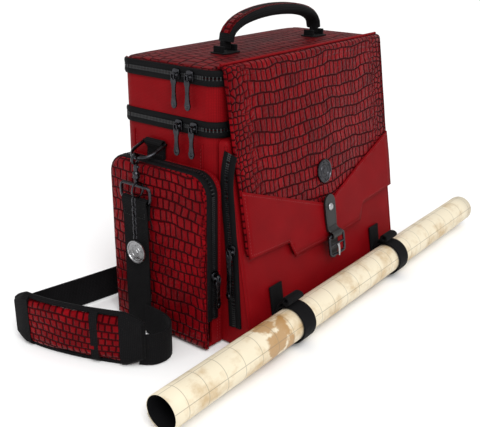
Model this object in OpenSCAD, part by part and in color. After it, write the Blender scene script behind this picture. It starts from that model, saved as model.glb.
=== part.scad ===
// A structured carry case for tabletop games: a shell with a zipped upper tray, a zipped lid,
// a buckled front flap, a zipped side pocket, a shoulder strap and a rolled map on the front.
// +X runs along the front to the right, +Y from the front to the back, +Z up.
// The origin is at the middle of the main shell's underside.

/* [Case] */
// Width of the main shell
case_w = 298; // [280:1:320]
// Depth of the main shell
case_d = 127; // [120:1:140]
// Height of the main shell, up to the lower zip
shell_top = 221; // [215:1:230]
// Height of the tray between the two zips
tray_h = 48; // [40:1:60]
// Thickness of the padded walls
wall = 3; // [2:0.5:4]
// How far the front slopes out from top to bottom
front_lean = 44; // [38:1:48]

/* [Pocket] */
// How far the side pocket stands out
pocket_out = 26; // [22:1:30]
// Height of the side pocket
pocket_h = 184; // [170:1:186]

/* [Flap] */
// Width of the front flap
flap_w = 286; // [270:1:290]
// Thickness of the flap's panel
flap_t = 3.6; // [3:0.1:4]

/* [Strap] */
// Width of the webbing
web_w = 34; // [30:1:38]
// Thickness of the webbing
web_t = 2; // [1.5:0.1:2.2]

/* [Map] */
// Length of the rolled map
map_l = 610; // [500:5:700]
// Outer radius of the rolled map
map_r = 18; // [16:0.5:19]

/* [Hidden] */
$fn = 48;
hw = case_w / 2;
hd = case_d / 2;
corner = 16;
gap = 0.6;
tray_top = shell_top + tray_h;
front_h = 273;
lean = atan(front_lean / front_h);
band_h = 6.4;
band_t = 1.4;
band_back = hd - 6;
map_y = -125;
map_z = 24;
ring_x = 102;
pull_w = 7;
slider_x = -hw - band_t - 0.5;
bridge_out = 4.8;
lid_rim = 6.6;
lid_crown = 4.4;
pocket_y0 = -71;
pocket_y1 = 61;
pocket_gusset = 15;
ring_x0 = hw + 4.2;
ring_y = 14;
ring_z = 198;
ring_reach = 28;
left_tilt = 70;
right_tilt = 15;
hook_drop = 1;
left_hook_x = ring_x0 + ring_reach * sin(left_tilt) + 1;
right_hook_x = ring_x0 + ring_reach * sin(right_tilt) + 0.6;
left_hook_z = ring_z - ring_reach * cos(left_tilt) - hook_drop;
right_hook_z = ring_z - ring_reach * cos(right_tilt) - hook_drop;
eye_top = 27;
eye_low = 43;
charm_y = 9;
charm_x = -left_hook_x - 9.4;
charm_z = left_hook_z - eye_top - 11.2;
link_pitch = 4.9;
links = 9;
strap_y = 16;
flap_gap = 2.2;
trim_z = flap_gap + flap_t + 0.1;
front_out = trim_z + 1.8;
bar_y = -194.7;
bar_z = front_out + 6.2;
hinge_y = -hd - 5.6;
hinge_z = 276;
handle_y = -16;
handle_z = tray_top + gap / 2 + lid_rim + lid_crown + 5;
handle_half = 80;
pocket_slider_x = -hw - pocket_gusset - gap / 2;
pad_path = [[-230, -38], [-238, -22], [-247, -2], [-256, 20], [-263, 42], [-268, 62], [-271, 84], [-272, 98]];
end_path = [[-184.5, 4], [-185, -12], [-187.5, -28], [-194, -40], [-204, -47], [-215, -47.5], [-224, -43.5], [-228, -38.9]];
back_path = [[-271, 101], [-266, 108], [-257, 111], [-246, 110], [-215, 104], [-180, 97], [-140, 90], [-90, 84], [-30, 80],
             [40, 78], [90, 77], [130, 74], [148, 66], [156.5, 52], [158, 34], [158, 4]];

// A rectangle with round corners, centred.
module round_rect(w, d, r) {
    square([w - 2 * r, d], center = true);
    square([w, d - 2 * r], center = true);
    for (x = [-1, 1], y = [-1, 1]) translate([x * (w / 2 - r), y * (d / 2 - r)]) circle(r);
}

// A standing ring of the case's outline, grown by out and t thick, between two heights.
module case_ring(z0, z1, out, t) {
    translate([0, 0, z0]) linear_extrude(z1 - z0) difference() {
        round_rect(case_w + 2 * out, case_d + 2 * out, corner + out);
        round_rect(case_w + 2 * (out - t), case_d + 2 * (out - t), corner + out - t);
    }
}

// A zip's tape round the front and both sides, open at the back.
module zip_band(z0) {
    difference() {
        case_ring(z0, z0 + band_h, band_t + 0.1, band_t);
        translate([-hw - 9, band_back, z0 - 1]) cube([case_w + 18, 20, band_h + 2]);
    }
}

// Lays children on the sloping front: X across, Y up the slope from the top edge, Z outwards.
module on_front() {
    translate([0, -hd, front_h]) rotate([90 - lean, 0, 0]) children();
}

// Lays children on the left side: local X towards the back, local Y up, local Z outwards.
module on_left(x, y, z) {
    translate([x, y, z]) multmatrix([[0, 0, -1, 0], [-1, 0, 0, 0], [0, 1, 0, 0], [0, 0, 0, 1]]) children();
}

function unit(v) = v / norm(v);
function side(p, i) = let (a = p[max(i - 1, 0)], b = p[min(i + 1, len(p) - 1)], t = unit(b - a)) [-t[1], t[0]];

// A strip standing on edge along a route on the floor plan.
module ribbon(path, t, z0, h) {
    last = len(path) - 1;
    translate([0, 0, z0]) linear_extrude(h) polygon(concat(
        [for (i = [0:last]) path[i] + side(path, i) * t / 2],
        [for (i = [last:-1:0]) path[i] - side(path, i) * t / 2]));
}

module main_shell() {
    color("firebrick") {
        translate([0, 0, 0]) linear_extrude(wall) round_rect(case_w, case_d, corner);
        case_ring(wall, shell_top - gap / 2, 0, wall);
    }
}

module base_stiffener() {
    color("dimgray") translate([0, 0, wall + 0.2]) linear_extrude(2)
        round_rect(case_w - 2 * wall - 4, case_d - 2 * wall - 4, corner - wall);
}

module divider_panels() {
    color("darkgray") for (x = [-50, 50]) translate([x - 2.5, -hd + wall + 0.4, wall + 2.6])
        cube([5, case_d - 2 * wall - 0.8, 150]);
}

// The front organiser pocket: a wedge whose face is the sloping front, open towards the shell.
module front_pocket() {
    top = 213;
    y_top = -hd - front_lean * (front_h - top) / front_h;
    y_low = -hd - front_lean;
    color("firebrick") rotate([90, 0, 90]) difference() {
        translate([0, 0, -hw + 1]) linear_extrude(case_w - 2)
            polygon([[-hd - 0.2, 0], [y_low + 5, 0], [y_low, 6], [y_top, top], [-hd - 0.2, top]]);
        translate([0, 0, -hw + 4]) linear_extrude(case_w - 8)
            polygon([[-hd + 1, 3], [y_low + 6, 3], [y_low + 3.2, 7], [y_top + 3.2, top - 3], [-hd + 1, top - 3]]);
    }
}

// The organiser's zip runs up the left side of the wedge.
module front_zip_tape() {
    color("black") translate([-hw + 1 - 0.1 - band_t, 0, 0]) rotate([90, 0, 90]) linear_extrude(band_t)
        polygon([[-89.5, 22], [-81.5, 22], [-79.5, 60], [-75, 112], [-70.5, 160], [-70.5, 176], [-75, 196], [-77.5, 205],
                 [-79.5, 199], [-78.5, 184], [-78, 168], [-81, 140], [-84.5, 112], [-87.5, 60]]);
}

module mid_zip_lower_tape() {
    color("black") zip_band(shell_top - gap / 2 - band_h);
}

// The outline of the side pocket, seen from the left.
module pocket_outline(inset) {
    r = 22 - inset;
    translate([-(pocket_y0 + pocket_y1) / 2, 0]) {
        translate([0, (pocket_h - r) / 2 + 0.5 * inset + 0.5])
            square([pocket_y1 - pocket_y0 - 2 * inset, pocket_h - r - inset - 1], center = true);
        translate([0, pocket_h - inset - r / 2 - 0.5])
            square([pocket_y1 - pocket_y0 - 2 * inset - 2 * r, r + 1], center = true);
        for (s = [-1, 1]) translate([s * ((pocket_y1 - pocket_y0) / 2 - inset - r), pocket_h - inset - r]) circle(r);
    }
}

module pocket_ring(x0, x1, inset, t) {
    on_left(-x0, 0, 0.5) linear_extrude(x1 - x0) difference() {
        pocket_outline(inset);
        pocket_outline(inset + t);
    }
}

module side_pocket_gusset() {
    color("firebrick") pocket_ring(hw + 0.3, hw + pocket_gusset, 1.8, 3);
}

module pocket_zip_inner_tape() {
    color("black") pocket_ring(hw + pocket_gusset - 4.5, hw + pocket_gusset, 0.2, 1.4);
}

module pocket_zip_outer_tape() {
    color("black") pocket_ring(hw + pocket_gusset + gap, hw + pocket_gusset + gap + 5, 0.2, 1.4);
}

// The pocket's moulded cover, hinged along its bottom edge.
module pocket_door() {
    x0 = hw + pocket_gusset + gap;
    color("darkred") {
        pocket_ring(x0, hw + pocket_out - wall, 1.8, 3);
        on_left(-hw - pocket_out + wall, 0, 0.5) linear_extrude(wall) pocket_outline(1.8);
    }
}

// A webbing loop sewn to the side, with the ring's bar through it.
module ring_tab() {
    translate([-hw - 2.2, ring_y - 12, ring_z - 13]) cube([1.6, 24, 11]);
    translate([-ring_x0, ring_y + 12, ring_z]) rotate([90, 0, 0]) linear_extrude(24) difference() {
        union() {
            circle(3.9);
            translate([2, -3.9]) square([1.6, 3.9]);
        }
        circle(2.3);
    }
}

module ring_tabs() {
    color("black") {
        ring_tab();
        mirror([1, 0, 0]) ring_tab();
    }
}

module magnet_socket() {
    color("silver") on_front() translate([0, -174, 0.62]) cylinder(h = 0.56, r = 9);
}

module ring_at_map(x) {
    translate([x - 10, map_y, map_z]) rotate([90, 0, 90]) linear_extrude(20) children();
}

// An elastic loop round the map, its anchor on the pocket's face and its rolled end on top.
module map_loop(x) {
    ring_at_map(x) difference() {
        circle(map_r + 2);
        circle(map_r + 0.4);
    }
    ring_at_map(x) polygon([[17.7, -8], [18.9, -8], [26.1, 36], [24.5, 36]]);
    translate([x - 13, map_y + 3.5, map_z + map_r + 7.5]) rotate([0, 90, 0]) cylinder(h = 26, r = 6.2);
}

module left_map_loop() {
    color("black") map_loop(-ring_x);
}

module right_map_loop() {
    color("black") map_loop(ring_x);
}

module left_strap_drop() {
    color("black") translate([-left_hook_x - web_t / 2, strap_y - web_w / 2, 1]) cube([web_t, web_w, left_hook_z - 63]);
}

module strap_end_run() {
    color("black") ribbon(end_path, web_t, 0.6, web_w);
}

// The padded sleeve on the strap, with its webbing through the middle.
module shoulder_pad() {
    color("darkred") {
        ribbon(pad_path, 9, 0, 56);
    }
}

module strap_back_run() {
    color("black") ribbon(back_path, web_t, 2.6, web_w);
}

module right_strap_drop() {
    color("black") translate([right_hook_x - web_t / 2, strap_y - web_w / 2, web_w + 1])
        cube([web_t, web_w, right_hook_z - 63 - web_w]);
}

module strap_adjuster() {
    color("black") translate([-6, 81 - 4.6, 0]) difference() {
        cube([26, 8, web_w + 5]);
        translate([3.5, -1, 3]) cube([6.5, 10, web_w - 1]);
        translate([16, -1, 3]) cube([6.5, 10, web_w - 1]);
        translate([-1, 0.8, 2.2]) cube([28, web_t + 2.8, web_w + 0.8]);
    }
}

module tray_shell() {
    color("firebrick") {
        translate([0, 0, shell_top + gap / 2]) linear_extrude(2.4) round_rect(case_w, case_d, corner);
        case_ring(shell_top + gap / 2 + 2.4, tray_top - gap / 2, 0, wall);
    }
}

module mid_zip_upper_tape() {
    color("black") zip_band(shell_top + gap / 2);
}

module top_zip_lower_tape() {
    color("black") zip_band(tray_top - gap / 2 - band_h);
}

module lid_panel() {
    color("darkred") {
        translate([0, 0, tray_top + gap / 2]) linear_extrude(lid_rim) difference() {
            round_rect(case_w, case_d, corner);
            round_rect(case_w - 2 * wall, case_d - 2 * wall, corner - wall);
        }
        hull() {
            translate([0, 0, tray_top + gap / 2 + lid_rim - 0.1]) linear_extrude(0.4) round_rect(case_w, case_d, corner);
            translate([0, 0, tray_top + gap / 2 + lid_rim + lid_crown - 0.4]) linear_extrude(0.4)
                round_rect(case_w - 56, case_d - 44, corner);
        }
    }
}

module lid_stiffener() {
    color("dimgray") translate([0, 0, tray_top + 4.4]) linear_extrude(2)
        round_rect(case_w - 2 * wall - 4, case_d - 2 * wall - 4, corner - wall);
}

module top_zip_upper_tape() {
    color("black") zip_band(tray_top + gap / 2);
}

// Two webbing saddles on the lid, each round one end of the handle's pin line.
module handle_anchors() {
    top = tray_top + gap / 2 + lid_rim + lid_crown;
    color("black") for (s = [-1, 1]) translate([s * handle_half, handle_y, 0]) {
        for (e = [-1, 1]) translate([e * 10 - 2, -9, top]) cube([4, 18, handle_z - top + 3]);
        translate([-12, 0, handle_z]) rotate([0, 90, 0]) cylinder(h = 24, r = 1.5);
    }
}

// An arched grip, with an eye at each end round its saddle's pin.
module handle_grip() {
    top = handle_z + 36;
    foot = handle_z + 12.4;
    outer_r = (pow(handle_half + 2, 2) + pow(top - foot, 2)) / (2 * (top - foot));
    color("black") translate([0, handle_y, 0]) {
        translate([0, 11, 0]) rotate([90, 0, 0]) linear_extrude(22) intersection() {
            translate([0, top - outer_r]) difference() {
                circle(outer_r, $fn = 96);
                circle(outer_r - 9, $fn = 96);
            }
            translate([-handle_half - 8, foot]) square([2 * handle_half + 16, 60]);
        }
        for (s = [-1, 1]) translate([s * handle_half, 0, handle_z]) difference() {
            union() {
                translate([-3.6, -3.6, 0]) cube([7.2, 7.2, 13.5]);
                translate([-3.6, 0, 0]) rotate([0, 90, 0]) cylinder(h = 7.2, r = 3.6);
            }
            translate([-5, 0, 0]) rotate([0, 90, 0]) cylinder(h = 10, r = 1.9);
        }
    }
}

// The flap's cover, hinged along the lid's front edge.
module flap_panel() {
    color("darkred") {
        on_front() translate([0, 0, flap_gap]) linear_extrude(flap_t)
            polygon([[-flap_w / 2, 3], [-flap_w / 2, -176], [-74, -182], [-66, -200], [66, -200], [74, -182],
                     [flap_w / 2, -176], [flap_w / 2, 3]]);
        translate([0.6 - flap_w / 2, hinge_y, hinge_z]) rotate([0, 90, 0]) cylinder(h = flap_w - 1.2, r = 3.3);
    }
}

// The plain lower part of the flap, with its top edge in a wide V.
module flap_trim() {
    color("firebrick") on_front() translate([0, 0, trim_z]) linear_extrude(1.6)
        polygon([[-flap_w / 2, -109], [0, -160.5], [flap_w / 2, -109], [flap_w / 2, -176], [74, -182], [66, -200],
                 [-66, -200], [-74, -182], [-flap_w / 2, -176]]);
}

module front_badge() {
    color("black") on_front() translate([0, -124, trim_z]) {
        cylinder(h = 2, r = 13);
        translate([0, 0, 2]) difference() {
            cylinder(h = 1, r = 13);
            translate([0, 0, -1]) cylinder(h = 3, r = 11);
        }
    }
}

// The leather tab, with its end rolled round the buckle's top bar.
module closure_tab() {
    color("black") on_front() translate([0, -160, front_out]) linear_extrude(2.2) {
        circle(10);
        translate([-10, -32]) square([20, 32]);
    }
    color("black") on_front() translate([-9, bar_y, bar_z]) rotate([90, 0, 90]) linear_extrude(18) difference() {
        union() {
            circle(3.2);
            translate([2, front_out + 2.1 - bar_z]) square([1.6, bar_z - front_out - 2.1]);
        }
        circle(1.7);
    }
}

module rivets() {
    color("silver") on_front() {
        translate([0, -164, front_out + 2.3]) cylinder(h = 1.6, r = 4);
        for (a = [45:90:315]) translate([9 * cos(a), -124 + 9 * sin(a), trim_z + 2.1]) cylinder(h = 0.9, r = 1.1);
    }
}

// The pointed strap that passes behind the buckle's frame.
module closure_strap() {
    color("black") on_front() translate([0, 0, front_out]) linear_extrude(2.2)
        polygon([[-9, -192.3], [9, -192.3], [9, -214], [0, -224], [-9, -214]]);
}

module magnet_stud() {
    color("silver") on_front() translate([0, -174, 1.3]) cylinder(h = 0.8, r = 7);
}

module buckle_frame() {
    color("silver") on_front() translate([0, bar_y - 11.3, bar_z]) {
        difference() {
            translate([-16, -13, -1.4]) cube([32, 24.3, 2.8]);
            translate([-12.6, -9.6, -3]) cube([25.2, 7.6, 6]);
            translate([-12.6, 0.9, -3]) cube([25.2, 20, 6]);
        }
        translate([-16, 11.3, 0]) rotate([0, 90, 0]) cylinder(h = 32, r = 1.4);
    }
}

module buckle_prong() {
    color("silver") on_front() translate([-1.4, bar_y - 25.3, bar_z + 1.8]) cube([2.8, 14, 2]);
}

// A ring with a straight bar at its top, tilted out from the side.
module d_ring(tilt) {
    bow = 14;
    translate([-ring_x0, ring_y, ring_z]) rotate([0, tilt, 0]) rotate([90, 0, 90]) {
        translate([0, bow - ring_reach, 0]) rotate([0, 0, 180]) rotate_extrude(angle = 180)
            translate([bow, 0]) circle(1.6);
        for (s = [-1, 1]) translate([s * bow, bow - ring_reach, 0]) rotate([-90, 0, 0])
            cylinder(h = ring_reach - bow, r = 1.6);
        translate([-bow - 1.6, 0, 0]) rotate([0, 90, 0]) cylinder(h = 2 * bow + 3.2, r = 1.6);
    }
}

// A swivel snap hook: a bow round the ring, a swivel, and a wide eye for the webbing.
module snap_hook(x, z) {
    translate([-x, ring_y, z]) rotate([90, 0, 0]) rotate_extrude() translate([4.6, 0]) circle(1.3);
    translate([-x, ring_y, z - 13]) cylinder(h = 8, r = 2);
    translate([-x, ring_y, z - 20]) cylinder(h = 7.5, r = 3.8);
    translate([-x, ring_y, z - eye_top]) cylinder(h = 7.4, r = 1.8);
    for (dz = [eye_top, eye_low]) translate([-x, strap_y - 20, z - dz]) rotate([-90, 0, 0]) cylinder(h = 40, r = 1.6);
    for (s = [-1, 1]) translate([-x, strap_y + s * 20, z - eye_low - 1.6]) cylinder(h = eye_low - eye_top + 3.2, r = 1.9);
}

// The webbing's end, folded over the eye's lower bar.
module strap_end(x, z) {
    translate([-x, strap_y + web_w / 2, z - eye_low]) rotate([90, 0, 0]) linear_extrude(web_w) difference() {
        union() {
            circle(4);
            translate([-4, -18]) square([8, 18]);
        }
        circle(2);
        translate([-2, -19]) square([4, 19]);
    }
}

module left_d_ring() {
    color("silver") d_ring(left_tilt);
}

module left_snap_hook() {
    color("silver") snap_hook(left_hook_x, left_hook_z);
}

module left_strap_end() {
    color("black") strap_end(left_hook_x, left_hook_z);
}

module right_d_ring() {
    color("silver") mirror([1, 0, 0]) d_ring(right_tilt);
}

module right_snap_hook() {
    color("silver") mirror([1, 0, 0]) snap_hook(right_hook_x, right_hook_z);
}

module right_strap_end() {
    color("black") mirror([1, 0, 0]) strap_end(right_hook_x, right_hook_z);
}

// A split ring on the eye's upper bar, and a short chain of links that turn a quarter each time.
module charm_chain() {
    color("silver") {
        translate([-left_hook_x - 3.6, charm_y, left_hook_z - eye_top - 2.6]) rotate([90, 0, 0])
            rotate_extrude() translate([7.5, 0]) circle(0.9);
        for (i = [0:links - 1]) translate([charm_x, charm_y, charm_z - i * link_pitch])
            rotate([90, 0, 90 + (i % 2) * 90]) rotate_extrude() translate([3.1, 0]) circle(0.75);
    }
}

module charm_disc() {
    color("silver") translate([charm_x, charm_y, charm_z - links * link_pitch - 11.4]) rotate([0, -90, 0]) {
        difference() {
            translate([0, 0, -1]) cylinder(h = 2, r = 12);
            translate([0, 0, 0.6]) cylinder(h = 1, r = 10.4);
            translate([0, 0, -1.6]) cylinder(h = 1, r = 10.4);
        }
    }
}

// The map: a rolled sheet with a dark backing inside it.
module map_sheet() {
    color("wheat") translate([-map_l / 2 + 9, map_y, map_z]) rotate([0, 90, 0]) difference() {
        cylinder(h = map_l, r = map_r);
        translate([0, 0, -1]) cylinder(h = map_l + 2, r = map_r - 1.2);
    }
}

module map_backing() {
    color("black") translate([-map_l / 2 + 9, map_y, map_z]) rotate([0, 90, 0]) difference() {
        cylinder(h = map_l, r = map_r - 1.2);
        translate([0, 0, -1]) cylinder(h = map_l + 2, r = map_r - 2.6);
    }
}

// A zip slider on the left side: a body with a bridge that carries the pull.
module slider(y, z, x = slider_x) {
    color("dimgray") translate([x, y, z]) {
        translate([-3, -4.5, -5.5]) cube([3, 9, 11]);
        translate([-bridge_out, 0, 0]) {
            for (s = [-1, 1]) translate([0, s * 3.4 - 0.9, -0.8]) cube([bridge_out - 2.8, 1.8, 1.6]);
            translate([0, 4.3, 0]) rotate([90, 0, 0]) cylinder(h = 8.6, r = 0.9);
        }
    }
}

// A pull that hangs from a slider's bridge.
module pull(y, z, l, x = slider_x) {
    color("dimgray") translate([x - bridge_out, y, z]) rotate([90, 0, 90]) translate([0, 0, -0.8]) difference() {
        linear_extrude(1.6) {
            circle(1.7);
            polygon([[-1.9, 0], [1.9, 0], [pull_w / 2, -l + 4], [-pull_w / 2, -l + 4]]);
            translate([0, -l + 4]) circle(pull_w / 2);
        }
        translate([-2.4, -1.3, -1]) cube([4.8, 2.6, 4]);
    }
    color("dimgray") translate([x - bridge_out, y, z]) for (s = [-1, 1]) translate([0, s * 1.2 + 0.6, 0]) rotate([90, 0, 0])
        linear_extrude(1.2) difference() {
            circle(1.7);
            circle(1.2);
        }
}

module top_slider_rear() { slider(-16, tray_top); }
module top_slider_front() { slider(-33, tray_top); }
module mid_slider_rear() { slider(-18, shell_top); }
module mid_slider_front() { slider(-37, shell_top); }
module top_pull_rear() { pull(-16, tray_top, 32); }
module top_pull_front() { pull(-33, tray_top, 32); }
module mid_pull_rear() { pull(-18, shell_top, 30); }
module mid_pull_front() { pull(-37, shell_top, 30); }
module front_slider() { slider(-82.5, 108, -hw + 1 - band_t - 0.6); }
module front_pull() { pull(-82.5, 108, 52, -hw + 1 - band_t - 0.6); }

// The pocket's slider runs on the pocket's front edge, so it faces forward.
module pocket_slider() {
    translate([pocket_slider_x, pocket_y0 - 0.5, 82]) rotate([0, 0, 90]) slider(0, 0, 0);
}

module pocket_pull() {
    translate([pocket_slider_x, pocket_y0 - 0.5, 82]) rotate([0, 0, 90]) pull(0, 0, 34, 0);
}

main_shell();
base_stiffener();
divider_panels();
front_pocket();
front_zip_tape();
mid_zip_lower_tape();
side_pocket_gusset();
pocket_zip_inner_tape();
ring_tabs();
magnet_socket();
left_map_loop();
right_map_loop();
left_strap_drop();
strap_end_run();
shoulder_pad();
strap_back_run();
right_strap_drop();
strap_adjuster();
tray_shell();
mid_zip_upper_tape();
top_zip_lower_tape();
lid_panel();
lid_stiffener();
top_zip_upper_tape();
handle_anchors();
handle_grip();
flap_panel();
flap_trim();
front_badge();
closure_tab();
rivets();
closure_strap();
magnet_stud();
buckle_frame();
buckle_prong();
left_d_ring();
left_snap_hook();
left_strap_end();
right_d_ring();
right_snap_hook();
right_strap_end();
charm_chain();
charm_disc();
pocket_door();
pocket_zip_outer_tape();
map_sheet();
map_backing();
top_slider_rear();
top_slider_front();
mid_slider_rear();
mid_slider_front();
pocket_slider();
front_slider();
top_pull_rear();
top_pull_front();
mid_pull_rear();
mid_pull_front();
pocket_pull();
front_pull();
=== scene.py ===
import math
import bpy
import bmesh
from mathutils import Matrix, Vector, noise
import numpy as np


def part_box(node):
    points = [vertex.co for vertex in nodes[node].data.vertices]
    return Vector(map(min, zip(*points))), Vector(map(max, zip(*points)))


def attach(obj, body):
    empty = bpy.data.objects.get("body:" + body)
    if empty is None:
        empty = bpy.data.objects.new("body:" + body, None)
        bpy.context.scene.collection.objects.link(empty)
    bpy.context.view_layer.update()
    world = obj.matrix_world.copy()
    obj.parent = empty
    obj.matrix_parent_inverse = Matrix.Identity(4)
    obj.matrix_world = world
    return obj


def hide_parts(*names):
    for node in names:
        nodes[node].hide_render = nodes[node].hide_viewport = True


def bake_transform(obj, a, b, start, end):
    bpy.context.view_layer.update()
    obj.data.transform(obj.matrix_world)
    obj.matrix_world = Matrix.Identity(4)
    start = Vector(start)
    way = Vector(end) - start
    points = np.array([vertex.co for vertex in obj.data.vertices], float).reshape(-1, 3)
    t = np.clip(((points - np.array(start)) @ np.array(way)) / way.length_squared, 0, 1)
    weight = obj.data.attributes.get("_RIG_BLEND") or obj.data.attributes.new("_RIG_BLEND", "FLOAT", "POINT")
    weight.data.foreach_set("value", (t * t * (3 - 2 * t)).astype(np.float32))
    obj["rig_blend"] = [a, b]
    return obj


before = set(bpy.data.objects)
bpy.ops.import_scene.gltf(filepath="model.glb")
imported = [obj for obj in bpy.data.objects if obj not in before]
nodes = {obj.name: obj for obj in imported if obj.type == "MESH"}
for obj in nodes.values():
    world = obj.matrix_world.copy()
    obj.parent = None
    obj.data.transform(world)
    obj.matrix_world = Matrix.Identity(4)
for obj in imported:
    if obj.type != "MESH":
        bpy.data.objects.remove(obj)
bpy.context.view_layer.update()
scene = bpy.context.scene
mm = 0.001


def boxMm(node):
    low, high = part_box(node)
    return low / mm, high / mm


shellLow, shellHigh = boxMm("main_shell")
trayLow, trayHigh = boxMm("tray_shell")
lidLow, lidHigh = boxMm("lid_panel")
halfW, halfD = shellHigh.x, shellHigh.y
midZ = (shellHigh.z + trayLow.z) / 2
topZ = (trayHigh.z + lidLow.z) / 2
lean = math.atan2(44, 273)  # slope of the front
onFront = Matrix.Translation((0, -halfD, 273)) @ Matrix.Rotation(math.pi / 2 - lean, 4, "X")


# ---- helpers ----

def linear(hexColour, alpha=1.0):
    parts = [int(hexColour[i:i + 2], 16) / 255 for i in (0, 2, 4)]
    return tuple(c / 12.92 if c <= 0.04045 else ((c + 0.055) / 1.055) ** 2.4 for c in parts) + (alpha,)


def addNode(tree, kind, inputs=None, **settings):
    node = tree.nodes.new(kind)
    for key, value in settings.items():
        setattr(node, key, value)
    for key, value in (inputs or {}).items():
        if isinstance(value, bpy.types.NodeSocket):
            tree.links.new(value, node.inputs[key])
        else:
            node.inputs[key].default_value = value
    return node


def newMaterial(name, hexColour, **sockets):
    material = bpy.data.materials.new(name)
    material.use_nodes = True
    tree = material.node_tree
    shader = tree.nodes["Principled BSDF"]
    shader.inputs["Base Color"].default_value = linear(hexColour)
    material.diffuse_color = linear(hexColour)
    for key, value in sockets.items():
        shader.inputs[key.replace("_", " ")].default_value = value
    return material, tree, shader


def maths(tree, operation, a, b=0.0, clamp=False):
    return addNode(tree, "ShaderNodeMath", {0: a, 1: b}, operation=operation, use_clamp=clamp).outputs[0]


def bumpInto(tree, shader, height, distance, strength=1.0):
    bump = addNode(tree, "ShaderNodeBump", {"Height": height, "Distance": distance * mm,
            "Strength": strength})
    tree.links.new(bump.outputs["Normal"], shader.inputs["Normal"])


def tintBetween(tree, shader, factor, darkHex, lightHex, socket="Base Color"):
    ramp = addNode(tree, "ShaderNodeMix", {"Factor": factor, "A": linear(darkHex), "B": linear(lightHex)},
            data_type="RGBA")
    for name, side in (("A", darkHex), ("B", lightHex)):
        [s for s in ramp.inputs if s.name == name and s.type == "RGBA"][0].default_value = linear(side)
    tree.links.new([s for s in ramp.outputs if s.type == "RGBA"][0], shader.inputs[socket])
    return ramp


def rangeMap(tree, value, fromLow, fromHigh, toLow=0.0, toHigh=1.0):
    return addNode(tree, "ShaderNodeMapRange", {"Value": value, "From Min": fromLow, "From Max": fromHigh,
                                                "To Min": toLow, "To Max": toHigh}).outputs[0]


def noiseAt(tree, vector, size, detail=2.0, roughness=0.5):
    # size is the width of a patch in mm
    return addNode(tree, "ShaderNodeTexNoise", {"Vector": vector, "Scale": 1 / size, "Detail": detail,
                                                "Roughness": roughness}).outputs["Fac"]


def skinCoords(tree):
    # every piece's own UV map is laid in millimetres
    return addNode(tree, "ShaderNodeTexCoord").outputs["UV"]


def weaveHeight(tree, coords, pitch):
    waves = [addNode(tree, "ShaderNodeTexWave", {"Vector": coords, "Scale": 0.31416 / pitch,
            "Distortion": 0.4,
                                                 "Detail": 0.0}, bands_direction=way).outputs["Fac"]
                                                         for way in "XY"]
    return maths(tree, "MULTIPLY", waves[0], waves[1])


def clothMaterial(name, darkHex, lightHex, pitch, depth, roughness, sheen):
    material, tree, shader = newMaterial(name, lightHex, Roughness=roughness, Sheen_Weight=sheen,
            Sheen_Roughness=0.4,
                                         Specular_IOR_Level=0.04)
    coords = skinCoords(tree)
    weave = weaveHeight(tree, coords, pitch)
    patches = noiseAt(tree, coords, 28, 3)
    mixed = maths(tree, "ADD", maths(tree, "MULTIPLY", weave, 0.55), maths(tree, "MULTIPLY", patches, 0.5),
            True)
    tintBetween(tree, shader, mixed, darkHex, lightHex)
    bumpInto(tree, shader, maths(tree, "ADD", weave, maths(tree, "MULTIPLY", patches, 1.5)), depth, 0.7)
    return material


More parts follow.
